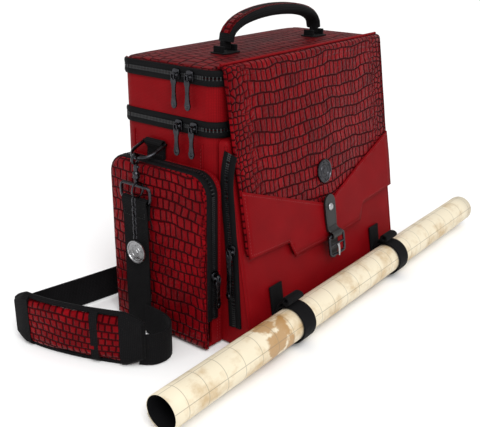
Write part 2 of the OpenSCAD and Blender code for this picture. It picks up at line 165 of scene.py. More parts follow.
def crocLeather(name, cellW, cellH, halfSpan, redHex="860912", tint=0.85, polish=0.3):
    # embossed, glazed leather: raised scales with a gloss and dull grooves between them; the grooves' near-black
    # colour is painted shade in the recesses
    material, tree, shader = newMaterial(name, redHex, Roughness=polish, Specular_IOR_Level=0.08,
            Specular_Tint=linear("FF8080"))
    coords = skinCoords(tree)
    slow = addNode(tree, "ShaderNodeTexNoise", {"Vector": coords, "Scale": 1 / 62,
            "Detail": 1.0}).outputs["Color"]
    quick = addNode(tree, "ShaderNodeTexNoise", {"Vector": coords, "Scale": 1 / 13,
            "Detail": 1.0}).outputs["Color"]
    swayed = coords
    for colour, reach in ((slow, cellH * 1.5), (quick, cellH * 0.24)):
        moved = addNode(tree, "ShaderNodeVectorMath", {0: colour, 1: (0.5, 0.5, 0.5)},
                operation="SUBTRACT").outputs[0]
        scaled = addNode(tree, "ShaderNodeVectorMath", {0: moved, 1: (reach, reach, 0)},
                operation="MULTIPLY").outputs[0]
        swayed = addNode(tree, "ShaderNodeVectorMath", {0: swayed, 1: scaled}, operation="ADD").outputs[0]
    rows = addNode(tree, "ShaderNodeTexBrick",
                   {"Vector": swayed, "Scale": 0.04, "Brick Width": cellW * 0.04, "Row Height": cellH * 0.04,
                    "Mortar Size": 0.062, "Mortar Smooth": 1.0, "Bias": 0.0, "Color1": (0, 0, 0, 1),
                    "Color2": (1, 1, 1, 1)}, offset=0.5, squash=1.0)
    small = addNode(tree, "ShaderNodeTexVoronoi", {"Vector": swayed, "Scale": 1.35 / cellW,
            "Randomness": 0.55},
                    feature="DISTANCE_TO_EDGE", voronoi_dimensions="2D").outputs["Distance"]
    smallGroove = rangeMap(tree, small, 0.03, 0.17, 1, 0)
    across = addNode(tree, "ShaderNodeSeparateXYZ", {0: swayed}).outputs["X"]
    edge = rangeMap(tree, maths(tree, "ABSOLUTE", across), halfSpan * 0.72, halfSpan * 0.86)
    groove = addNode(tree, "ShaderNodeMix", {"Factor": edge, "A": rows.outputs["Fac"],
            "B": smallGroove}).outputs[0]
    shades = noiseAt(tree, coords, 34, 2)
    scaleTint = maths(tree, "ADD", maths(tree, "MULTIPLY", addNode(tree, "ShaderNodeSeparateColor",
                      {0: rows.outputs["Color"]}).outputs[0], 0.2), maths(tree, "MULTIPLY", shades, tint))
    # the grooves pull the colour down towards 240205: painted shade in the recesses between the scales
    mixed = maths(tree, "MULTIPLY", scaleTint, maths(tree, "SUBTRACT", 1.0, groove), True)
    tintBetween(tree, shader, mixed, "240205", redHex)
    grain = noiseAt(tree, coords, 0.9, 2)
    dome = rangeMap(tree, small, 0.0, 0.5)
    height = maths(tree, "ADD", maths(tree, "SUBTRACT", 1.0, groove),
                   maths(tree, "ADD", maths(tree, "MULTIPLY", grain, 0.06), maths(tree, "MULTIPLY", dome,
                           0.25)))
    bumpInto(tree, shader, height, 1.3, 1.0)
    tree.links.new(rangeMap(tree, groove, 0, 1, polish, 0.7), shader.inputs["Roughness"])
    return material


def redNylon():
    # dense woven nylon with a coated back: smooth and softly satin, 0.6 mm threads drawn at 1.4 mm so that they show
    return clothMaterial("redBallisticNylon", "5C050A", "8C0A12", 1.4, 0.16, 0.5, 0.0)


def blackWebbing():
    # flat woven webbing: ribs across its width, no gloss
    return clothMaterial("blackWovenWebbing", "060606", "1C1B1D", 1.8, 0.35, 0.7, 0.02)


def zipTapeCloth():
    return clothMaterial("blackZipTape", "070707", "19191B", 1.2, 0.2, 0.55, 0.0)


def liningCloth():
    return clothMaterial("blackLiningCloth", "070708", "141416", 1.6, 0.1, 0.8, 0.0)


def bridleLeather():
    # smooth black leather with a fine pebble grain
    material, tree, shader = newMaterial("blackSmoothLeather", "111011", Roughness=0.42,
            Specular_IOR_Level=0.35)
    coords = skinCoords(tree)
    grain = addNode(tree, "ShaderNodeTexVoronoi", {"Vector": coords, "Scale": 0.7}).outputs["Distance"]
    tintBetween(tree, shader, noiseAt(tree, coords, 9, 3), "060505", "191717")
    bumpInto(tree, shader, grain, 0.18, 0.6)
    return material


def darkGunmetal():
    # plated zinc castings, polished dark, with fine handling marks
    material, tree, shader = newMaterial("polishedGunmetal", "333336", Metallic=1.0, Roughness=0.2)
    coords = addNode(tree, "ShaderNodeTexCoord").outputs["Object"]
    marks = addNode(tree, "ShaderNodeTexNoise", {"Vector": coords, "Scale": 160.0,
            "Detail": 2.0}).outputs["Fac"]
    tintBetween(tree, shader, marks, "222225", "48484C")
    tree.links.new(rangeMap(tree, marks, 0.3, 0.7, 0.16, 0.36), shader.inputs["Roughness"])
    return material


def paleSteel():
    # nickel-plated stamping, satin
    material, tree, shader = newMaterial("satinNickelPlate", "A5A5A6", Metallic=1.0, Roughness=0.3)
    coords = addNode(tree, "ShaderNodeTexCoord").outputs["Object"]
    marks = addNode(tree, "ShaderNodeTexNoise", {"Vector": coords, "Scale": 200.0,
            "Detail": 2.0}).outputs["Fac"]
    tintBetween(tree, shader, marks, "9B9B9D", "B4B4B6")
    tree.links.new(rangeMap(tree, marks, 0.3, 0.7, 0.22, 0.42), shader.inputs["Roughness"])
    return material


def zipCoil():
    # moulded nylon coil, glossy black
    material, tree, shader = newMaterial("blackNylonCoil", "2A2A2C", Roughness=0.3)
    coords = addNode(tree, "ShaderNodeTexCoord").outputs["Object"]
    tintBetween(tree, shader, addNode(tree, "ShaderNodeTexNoise", {"Vector": coords,
            "Scale": 300.0}).outputs["Fac"],
                "0D0D0E", "262628")
    return material


def printedMap():
    # printed vinyl sheet: aged parchment print with a 25.4 mm grid, low gloss
    material, tree, shader = newMaterial("printedParchmentVinyl", "CDBD9B", Roughness=0.5,
            Specular_IOR_Level=0.25)
    coords = skinCoords(tree)
    grid = addNode(tree, "ShaderNodeTexBrick", {"Vector": coords, "Scale": 0.02, "Brick Width": 0.508,
            "Row Height": 0.508,
                   "Mortar Size": 0.0085, "Mortar Smooth": 0.3, "Color1": (1, 1, 1, 1), "Color2": (1, 1, 1,
                           1)},
                   offset=0.0).outputs["Fac"]
    age = noiseAt(tree, coords, 46, 6, 0.62)
    first = addNode(tree, "ShaderNodeValToRGB", {"Fac": age})
    for stop, (place, hexColour) in zip((first.color_ramp.elements[0], first.color_ramp.elements[1]),
                                        ((0.31, "B49566"), (0.52, "DDD2B9"))):
        stop.position, stop.color = place, linear(hexColour)
    along = addNode(tree, "ShaderNodeSeparateXYZ", {0: coords}).outputs["X"]
    # a plain ochre wash across one stretch of the print
    near = rangeMap(tree, maths(tree, "ABSOLUTE", maths(tree, "ADD", along, 148.0)), 14, 40, 1, 0)
    blot = rangeMap(tree, maths(tree, "MULTIPLY", near, noiseAt(tree, coords, 15, 4, 0.55)), 0.36, 0.46)
    washed = addNode(tree, "ShaderNodeMix", {"Factor": maths(tree, "MULTIPLY", blot, 0.75)}, data_type="RGBA")
    colours = [s for s in washed.inputs if s.type == "RGBA"]
    tree.links.new(first.outputs["Color"], colours[0])
    colours[1].default_value = linear("9A6A22")
    lined = addNode(tree, "ShaderNodeMix", {"Factor": maths(tree, "MULTIPLY", grid, 0.55)}, data_type="RGBA")
    colours = [s for s in lined.inputs if s.type == "RGBA"]
    tree.links.new([s for s in washed.outputs if s.type == "RGBA"][0], colours[0])
    colours[1].default_value = linear("6F6A5E")
    tree.links.new([s for s in lined.outputs if s.type == "RGBA"][0], shader.inputs["Base Color"])
    bumpInto(tree, shader, noiseAt(tree, coords, 1.4, 3), 0.08, 0.5)
    return material


def thread(name, hexColour):
    # twisted polyester sewing thread
    material, tree, shader = newMaterial(name, hexColour, Roughness=0.6)
    coords = addNode(tree, "ShaderNodeTexCoord").outputs["Object"]
    twist = addNode(tree, "ShaderNodeTexNoise", {"Vector": coords, "Scale": 900.0}).outputs["Fac"]
    bumpInto(tree, shader, twist, 0.2, 0.5)
    return material


def mouldedBlack():
    # injection-moulded acetal with a light spark texture
    material, tree, shader = newMaterial("blackMouldedAcetal", "141414", Roughness=0.45)
    coords = addNode(tree, "ShaderNodeTexCoord").outputs["Object"]
    bumpInto(tree, shader, addNode(tree, "ShaderNodeTexNoise", {"Vector": coords,
            "Scale": 1500.0}).outputs["Fac"], 0.1, 0.4)
    return material


nylon, webbing, tapeCloth, lining = redNylon(), blackWebbing(), zipTapeCloth(), liningCloth()
blackLeather, gunmetal, nickel, coil = bridleLeather(), darkGunmetal(), paleSteel(), zipCoil()
mapPrint, acetal = printedMap(), mouldedBlack()
crocFlap = crocLeather("redCrocLeatherFlap", 8.5, 12.5, halfW)
crocPocket = crocLeather("redCrocLeatherPocket", 8, 11.5, 78)
# the lid top's copy is drawn darker (740910, weaker tint) than the flap's: painted shade on the top face
crocTopShaded = crocLeather("redCrocLeatherTopShaded", 10, 13, 400, "740910", 0.8, 0.6)
crocSmall = crocLeather("redCrocLeatherStrap", 7, 7.5, 400)
redThread, blackThread = thread("redSewingThread", "7C0C14"), thread("blackSewingThread", "101010")
print("materials made")


def layUv(bm, place=None):
    # in mm: by place(co, normal) when given, or flat on the side that each face looks to
    layer = bm.loops.layers.uv.verify()
    for face in bm.faces:
        n = [abs(c) for c in face.normal]
        side = n.index(max(n))
        for loop in face.loops:
            co = loop.vert.co
            if place:
                loop[layer].uv = place(co, face.normal)
            else:
                loop[layer].uv = ((co.y, co.z), (co.x, co.z), (co.x, co.y))[side]


def makePiece(name, bm, body, material, stands=(), uv=None, swept=None, turn=True, flat=False, wall=None,
        inner=None,
              bevel=0):
    # bm is in mm; its mesh is put in place in metres
    if turn:
        bmesh.ops.recalc_face_normals(bm, faces=bm.faces)
    if swept:
        sweptUv(bm, swept)
    else:
        layUv(bm, uv)
    bmesh.ops.scale(bm, vec=(mm, mm, mm), verts=bm.verts)
    mesh = bpy.data.meshes.new(name)
    bm.to_mesh(mesh)
    bm.free()
    mesh.materials.append(material)
    if inner:
        mesh.materials.append(inner)
    piece = bpy.data.objects.new(name, mesh)
    scene.collection.objects.link(piece)
    mesh.polygons.foreach_set("use_smooth", [not flat] * len(mesh.polygons))
    if not flat:
        mesh.set_sharp_from_angle(angle=math.radians(42))
    if wall:
        thick = piece.modifiers.new("wall", "SOLIDIFY")
        thick.thickness, thick.offset = wall * mm, -1
        if inner:
            thick.material_offset = 1
            thick.material_offset_rim = 0
    if bevel:
        rounded = piece.modifiers.new("edges", "BEVEL")
        rounded.width, rounded.segments, rounded.limit_method = bevel * mm, 2, "ANGLE"
    if body:
        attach(piece, body)
    if stands:
        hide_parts(*stands)
    return piece


def slicesAlong(bm, axis, start, stop, step):
    count = max(1, round((stop - start) / step))
    normal = Vector([1 if i == axis else 0 for i in range(3)])
    for i in range(1, count):
        bmesh.ops.bisect_plane(bm, geom=bm.verts[:] + bm.edges[:] + bm.faces[:],
                               plane_co=normal * (start + (stop - start) * i / count), plane_no=normal,
                                       dist=0.0001)


def uprightEdges(bm):
    return [e for e in bm.edges if abs(e.verts[0].co.x - e.verts[1].co.x) < 0.01
            and abs(e.verts[0].co.y - e.verts[1].co.y) < 0.01]


def bevelEdges(bm, edges, radius, segments):
    bmesh.ops.bevel(bm, geom=edges, offset=radius, segments=segments, profile=0.5, affect="EDGES",
            material=-1)


def wrinkle(co, size, reach, seed):
    return noise.noise(co / size + Vector((seed, seed * 0.37, 0))) * reach


def ringFrames(points, up=None, closed=False):
    # a frame at each point: X to the right of the way, Y up, Z along
    points = [Vector(p) for p in points]
    frames = []
    last = len(points) - 1
    for i, p in enumerate(points):
        before = points[(i - 1) % len(points)] if closed else points[max(i - 1, 0)]
        after = points[(i + 1) % len(points)] if closed else points[min(i + 1, last)]
        along = (after - before).normalized()
        upNow = Vector(up) if up is not None else Vector((0, 0, 1))
        right = along.cross(upNow).normalized()
        upNow = right.cross(along)
        frames.append(Matrix.Translation(p) @ Matrix((right, upNow, -along)).transposed().to_4x4())
    return frames


def sweep(bm, profile, frames, closed=False, sizes=None):
    # pulls a closed outline along the frames, and keeps how far along and round each point is
    along = bm.verts.layers.float.get("along") or bm.verts.layers.float.new("along")
    around = bm.verts.layers.float.get("around") or bm.verts.layers.float.new("around")
    size = lambda i: Matrix.Scale(sizes[i], 4) if sizes else Matrix.Identity(4)
    ring = [bm.verts.new(frames[0] @ size(0) @ Vector((a, b, 0))) for a, b in profile]
    girth = 0
    for i, v in enumerate(ring):
        v[around] = girth
        girth += (Vector(profile[i]) - Vector(profile[(i + 1) % len(profile)])).length
    edges = first = [bm.edges.new((ring[i], ring[(i + 1) % len(ring)])) for i in range(len(ring))]
    run = 0
    for i in range(1, len(frames)):
        made = bmesh.ops.extrude_edge_only(bm, edges=edges)["geom"]
        verts = [g for g in made if isinstance(g, bmesh.types.BMVert)]
        edges = [g for g in made if isinstance(g, bmesh.types.BMEdge) and g.is_boundary]
        before, now = frames[i - 1] @ size(i - 1), frames[i] @ size(i)
        bmesh.ops.transform(bm, matrix=now @ before.inverted(), verts=verts)
        run += (frames[i].translation - frames[i - 1].translation).length
        for v in verts:
            v[along] = run
    if closed:
        bmesh.ops.bridge_loops(bm, edges=first + edges)
    else:
        for end in (first, edges):
            bmesh.ops.contextual_create(bm, geom=end)
    return run


def sweptUv(bm, offset):
    layer = bm.loops.layers.uv.verify()
    along, around = bm.verts.layers.float["along"], bm.verts.layers.float["around"]
    for face in bm.faces:
        for loop in face.loops:
            loop[layer].uv = (loop.vert[along] + offset[0], loop.vert[around] + offset[1])


def roundProfile(radius, count=10, flatness=1.0):
    return [(radius * math.cos(2 * math.pi * i / count),
            radius * flatness * math.sin(2 * math.pi * i / count))
            for i in range(count)]


def stripProfile(width, thick, rounding=0.6, across=1):
    # a flat band with round edges; across=1 puts the width on Y, 0 on X
    w, t = width / 2, thick / 2
    r = min(rounding, t * 0.95)
    steps = max(2, round(width / 6))
    side = [(-t, -w + r + (2 * w - 2 * r) * i / steps) for i in range(steps + 1)]
    other = [(t, w - r - (2 * w - 2 * r) * i / steps) for i in range(steps + 1)]
    points = side + [(-t + r, w), (t - r, w)] + other + [(t - r, -w), (-t + r, -w)]
    return points if across else [(b, a) for a, b in points]


def smoothPath(points, step=4.0, closed=False):
    # a Catmull-Rom curve through the points, at an even spacing
    pts = [Vector(p) for p in points]
    out = []
    count = len(pts) if closed else len(pts) - 1
    for i in range(count):
        p1, p2 = pts[i], pts[(i + 1) % len(pts)]
        p0 = pts[i - 1] if i or closed else p1 * 2 - p2
        p3 = pts[(i + 2) % len(pts)] if i + 2 < len(pts) or closed else p2 * 2 - p1
        parts = max(1, round((p2 - p1).length / step))
        for k in range(parts):
            t = k / parts
            out.append(0.5 * ((2 * p1) + (p2 - p0) * t + (2 * p0 - 5 * p1 + 4 * p2 - p3) * t * t
                              + (3 * p1 - p0 - 3 * p2 + p3) * t ** 3))
    return out if closed else out + [pts[-1]]


def evenly(points, pitch):
    # points and directions at an even pitch along a polyline
    out, carry = [], 0.0
    for a, b in zip(points, points[1:]):
        length = (b - a).length
        if length < 1e-6:
            continue
        t = carry
        while t < length:
            out.append((a.lerp(b, t / length), (b - a).normalized()))
            t += pitch
        carry = t - length
    return out


def stitchRow(bm, points, facing, pitch=3.4, length=2.3, radius=0.36):
    # short rounded stitches that dip into the cloth at both ends
    for place, along in evenly([Vector(p) for p in points], pitch):
        out = facing(place) if callable(facing) else Vector(facing)
        side = along.cross(out).normalized()
        turn = Matrix((along, side, along.cross(side) * -1)).transposed().to_4x4()
        bmesh.ops.create_icosphere(bm, subdivisions=1, radius=radius, matrix=Matrix.Translation(place) @ turn
                                   @ Matrix.Diagonal((length / (2 * radius), 1, 0.7, 1)))


def caseOutline(out):
    # the case's outline from above, from the back of the left side round the front to the right
    w, d, r = halfW + out, halfD + out, 16 + out
    arcs = lambda cx, cy, a0, a1: [Vector((cx + r * math.cos(math.radians(a0 + (a1 - a0) * i / 8)),
                                           cy + r * math.sin(math.radians(a0 + (a1 - a0) * i / 8)), 0))
                                                   for i in range(9)]
    return (arcs(-w + r, d - r, 142, 180) + arcs(-w + r, -d + r, 180, 270) + arcs(w - r, -d + r, 270, 360)
            + arcs(w - r, d - r, 0, 38))


def denser(points, step):
    out = [points[0]]
    for a, b in zip(points, points[1:]):
        parts = max(1, round((b - a).length / step))
        out += [a.lerp(b, k / parts) for k in range(1, parts + 1)]
    return out


# ---- the camera and the light ----

camera = {"place": (-0.6510, -0.4855, 0.3991), "yaw": 51.8, "pitch": 21.5, "roll": 0.5, "lens": 55.07}


def placeCamera():
    yaw, pitch = math.radians(camera["yaw"]), math.radians(camera["pitch"])
    ahead = Vector((math.sin(yaw) * math.cos(pitch), math.cos(yaw) * math.cos(pitch), -math.sin(pitch)))
    right = ahead.cross(Vector((0, 0, 1))).normalized()
    up = right.cross(ahead)
    data = bpy.data.cameras.new("camera")
    data.lens, data.sensor_width = camera["lens"], 36
    data.clip_start, data.clip_end = 0.01, 30
    eye = bpy.data.objects.new("camera", data)
    scene.collection.objects.link(eye)
    turn = Matrix((right, up, -ahead)).transposed().to_4x4()
    eye.matrix_world = Matrix.Translation(camera["place"]) @ turn @ Matrix.Rotation(math.radians(camera["roll"]), 4, "Z")
    scene.camera = eye


def softLight(name, place, target, size, power):
    data = bpy.data.lights.new(name, "AREA")
    data.shape, data.size, data.energy = "DISK", size, power
    lamp = bpy.data.objects.new(name, data)
    lamp.location = place
    lamp.rotation_euler = (Vector(target) - Vector(place)).to_track_quat("-Z", "Y").to_euler()
    scene.collection.objects.link(lamp)


def studio():
    world = bpy.data.worlds.new("studio")
    scene.world = world
    world.use_nodes = True
    world.node_tree.nodes["Background"].inputs["Color"].default_value = (1, 1, 1, 1)
    world.node_tree.nodes["Background"].inputs["Strength"].default_value = 0.8
    softLight("key", (-1.0, -1.2, 1.3), (0, 0, 0.15), 0.6, 9)
    softLight("side", (-1.5, 0.5, 0.7), (0, 0, 0.15), 0.5, 2)
    sun = bpy.data.lights.new("sun", "SUN")
    sun.energy, sun.angle = 1.15, math.radians(35)
    lamp = bpy.data.objects.new("sun", sun)
    lamp.rotation_euler = Vector((0.55, 0.75, -1.3)).to_track_quat("-Z", "Y").to_euler()
    scene.collection.objects.link(lamp)
    bm = bmesh.new()
    bmesh.ops.create_grid(bm, x_segments=1, y_segments=1, size=40)
    mesh = bpy.data.meshes.new("floor")
    bm.to_mesh(mesh)
    bm.free()
    floor = bpy.data.objects.new("floor", mesh)
    material, tree, shader = newMaterial("paleMattePaint", "FAFAFA", Roughness=1.0, Specular_IOR_Level=0.0)
    mesh.materials.append(material)
    floor.location.z = -0.0004
    scene.collection.objects.link(floor)
    scene.view_settings.view_transform = "Standard"


placeCamera()
studio()
print("camera and light placed")


# ---- the shell, the tray and the lid ----

shell = {"radius": 16, "wall": 3.2, "slice": 11}


def paddedBox(name, body, z0, z1, stands, swell, material, seed):
    bm = bmesh.new()
    bmesh.ops.create_cube(bm, size=1)
    bmesh.ops.scale(bm, vec=(2 * halfW - 0.6, 2 * halfD - 0.6, z1 - z0), verts=bm.verts)
    bmesh.ops.translate(bm, vec=(0, 0, (z0 + z1) / 2), verts=bm.verts)
    bevelEdges(bm, uprightEdges(bm), shell["radius"], 7)
    bmesh.ops.delete(bm, geom=[f for f in bm.faces if f.normal.z > 0.9], context="FACES_ONLY")
    for axis, low, high in ((2, z0, z1), (0, -halfW + 16, halfW - 16), (1, -halfD + 16, halfD - 16)):
        slicesAlong(bm, axis, low, high, shell["slice"])
    for v in bm.verts:
        lift = math.sin(math.pi * min(max((v.co.z - z0) / (z1 - z0), 0), 1)) ** 0.6
        acrossX = max(0, math.cos(math.pi * v.co.x / (2 * halfW)))
        acrossY = max(0, math.cos(math.pi * v.co.y / (2 * halfD)))
        ripple = wrinkle(v.co, 46, 1.0, seed) * lift
        if abs(v.co.x) > halfW - 4:
            v.co.x += math.copysign(swell * lift * acrossY + ripple * acrossY, v.co.x)
        if abs(v.co.y) > halfD - 4:
            v.co.y += math.copysign(min(swell, 1.2 if v.co.y < 0 else swell) * lift * acrossX
                    + 0.4 * ripple * acrossX, v.co.y)
    return makePiece(name, bm, body, material, stands, turn=True, wall=shell["wall"], inner=lining)


paddedBox("shellBody", "case", 0.3, midZ - 0.5, ["main_shell"], 1.4, nylon, seed=1.3)
paddedBox("trayBody", "tray", midZ + 0.5, topZ - 0.5, ["tray_shell"], 1.0, nylon, seed=4.1)


def panelSeams():
    # pressed seams down the left and right sides
    dark = bmesh.new()
    for side in (-1, 1):
        for y, z1 in ((-45, 206), (46, 206)):
            path = denser([Vector((side * (halfW + 0.4), y, 3)), Vector((side * (halfW + 0.4), y, z1))], 12)
            sweep(dark, roundProfile(0.9, 6), ringFrames(path, (side, 0, 0)))
    makePiece("sideSeamWelts", dark, "case", nylon, swept=(0, 0))
    bm = bmesh.new()
    for side in (-1, 1):
        for y in (-42.5, 43.5):
            path = [Vector((side * (halfW + 0.3), y, 6)), Vector((side * (halfW + 0.3), y, 203))]
            stitchRow(bm, path, (side, 0, 0))
    makePiece("sideSeamStitches", bm, "case", redThread)


panelSeams()


def lidPanel():
    bm = bmesh.new()
    bmesh.ops.create_cube(bm, size=1)
    height = lidHigh.z - lidLow.z
    bmesh.ops.scale(bm, vec=(2 * halfW - 0.4, 2 * halfD - 0.4, height - 3.2), verts=bm.verts)
    bmesh.ops.translate(bm, vec=(0, 0, lidLow.z + (height - 3.2) / 2), verts=bm.verts)
    bevelEdges(bm, uprightEdges(bm), shell["radius"], 8)
    top = [f for f in bm.faces if f.normal.z > 0.9]
    bevelEdges(bm, list({e for f in top for e in f.edges}), 5.5, 4)
    bmesh.ops.delete(bm, geom=[f for f in bm.faces if f.normal.z < -0.9], context="FACES_ONLY")
    for axis, half in ((0, halfW), (1, halfD)):
        slicesAlong(bm, axis, -half, half, 10)
    for v in bm.verts:
        if v.co.z > lidHigh.z - 4.2:
            nearX, nearY = (halfW - abs(v.co.x)) / 46, (halfD - abs(v.co.y)) / 40
            v.co.z += 3.1 * math.sin(math.pi / 2 * min(1, nearX)) * math.sin(math.pi / 2 * min(1,
                    nearY)) + wrinkle(v.co, 50, 0.4, 5) * min(1, nearY)
    # the lid top takes the darker copy of the croc leather: painted shade on the top face
    makePiece("lidTop", bm, "lid", crocTopShaded, ["lid_panel", "lid_stiffener"], wall=2.6, inner=lining)
    bm = bmesh.new()
    path = denser(caseOutline(-0.6), 7)
    for p in path:
        p.z = lidLow.z + 6.7
    sweep(bm, roundProfile(1.25, 8), ringFrames(path))
    makePiece("lidPiping", bm, "lid", crocSmall, swept=(0, 0))


lidPanel()


def innerPieces():
    # padded dividers and the boards that stiffen the base
    for i, x in enumerate((-50, 50)):
        bm = bmesh.new()
        bmesh.ops.create_cube(bm, size=1)
        bmesh.ops.scale(bm, vec=(5, 2 * halfD - 8, 150), verts=bm.verts)
        bmesh.ops.translate(bm, vec=(x, 0, 80.6), verts=bm.verts)
        bevelEdges(bm, bm.edges[:], 2.2, 3)
        slicesAlong(bm, 1, -halfD, halfD, 12)
        slicesAlong(bm, 2, 5, 156, 12)
        for v in bm.verts:
            v.co.x += math.copysign(0.5, v.co.x - x) * math.sin(v.co.y * 0.2) * math.sin(v.co.z * 0.2)
        makePiece("divider" + "AB"[i], bm, "case", lining, ["divider_panels"] if i == 0 else ())
    for name, node, body in (("baseBoard", "base_stiffener", "case"),):
        low, high = boxMm(node)
        bm = bmesh.new()
        bmesh.ops.create_cube(bm, size=1)
        bmesh.ops.scale(bm, vec=(high - low), verts=bm.verts)
        bmesh.ops.translate(bm, vec=(low + high) / 2, verts=bm.verts)
        bevelEdges(bm, uprightEdges(bm), 12, 5)
        makePiece(name, bm, body, lining, [node], bevel=0.4)


innerPieces()
print("shell, tray and lid made")


# ---- the zips ----

zipParts = {"teethPitch": 1.9}


def zipHalf(name, body, path, upVector, outwards, sign, stands):
    # one tape with its row of coil loops: sign is which way the tape lies from the meeting line
    tape = bmesh.new()
    profile = [(0.1, 0.5 * sign), (1.2, 0.6 * sign), (1.9, 2.4 * sign), (2.1, 5.0 * sign), (1.4,
            7.2 * sign), (0.1, 7.6 * sign)]
    seatsAt = outwards or (lambda points: ringFrames(points, upVector))
    sweep(tape, profile, seatsAt(path))
    makePiece(name + "Tape", tape, body, tapeCloth, stands, swept=(0, 0))
    teeth = bmesh.new()
    rows = denser(path, 2)
    seats = seatsAt(rows)
    run = 0
    for i in range(1, len(seats)):
        run += (rows[i] - rows[i - 1]).length
        if run >= zipParts["teethPitch"]:
            run = 0
            bmesh.ops.create_cube(teeth, size=1, matrix=seats[i] @ Matrix.Translation((1.7, 1.0 * sign, 0))
                                  @ Matrix.Diagonal((1.1, 1.7, 1.0, 1)))
    makePiece(name + "Coil", teeth, body, coil)


def bandZip(name, z, lowerBody, upperBody, lowerNode, upperNode):
    path = denser(caseOutline(0.0), 6)
    for p in path:
        p.z = z
    # the outline runs anticlockwise from above, so outwards lies to the right of the way
    zipHalf(name + "Lower", lowerBody, path, (0, 0, 1), None, -1, [lowerNode])
    zipHalf(name + "Upper", upperBody, path, (0, 0, 1), None, 1, [upperNode])


bandZip("midZip", midZ, "case", "tray", "mid_zip_lower_tape", "mid_zip_upper_tape")
bandZip("topZip", topZ, "tray", "lid", "top_zip_lower_tape", "top_zip_upper_tape")


# ---- the side pocket ----

pocketLow, pocketHigh = boxMm("pocket_door")
gussetLow, gussetHigh = boxMm("side_pocket_gusset")
pocket = {"zipX": (gussetLow.x + pocketHigh.x) / 2, "yFront": gussetLow.y, "yBack": gussetHigh.y,
        "top": gussetHigh.z,
          "bottom": gussetLow.z, "radius": 20}


def pocketOutline(inset, zStart):
    # up the front edge, over the top and down the back edge, as points with x = 0
    y0, y1, top, r = pocket["yFront"] + inset, pocket["yBack"] - inset, pocket["top"] - inset, pocket["radius"] - inset
    arc = lambda cy, a0, a1: [Vector((0, cy + r * math.cos(math.radians(a0 + (a1 - a0) * i / 9)),
                                      top - r + r * math.sin(math.radians(a0 + (a1 - a0) * i / 9))))
                                              for i in range(10)]
    return [Vector((0, y0, zStart))] + arc(y0 + r, 180, 90) + arc(y1 - r, 90, 0) + [Vector((0, y1, zStart))]


def pocketFrames(points):
    # X outwards from the pocket's rim, Y towards the left
    frames = []
    for i, p in enumerate(points):
        along = (points[min(i + 1, len(points) - 1)] - points[max(i - 1, 0)]).normalized()
        left = Vector((-1, 0, 0))
        out = left.cross(along).normalized()
        if out.dot(p - Vector((p.x, (pocket["yFront"] + pocket["yBack"]) / 2, 80))) < 0:
            out = -out
        frames.append(Matrix.Translation(p) @ Matrix((out, left, out.cross(left))).transposed().to_4x4())
    return frames


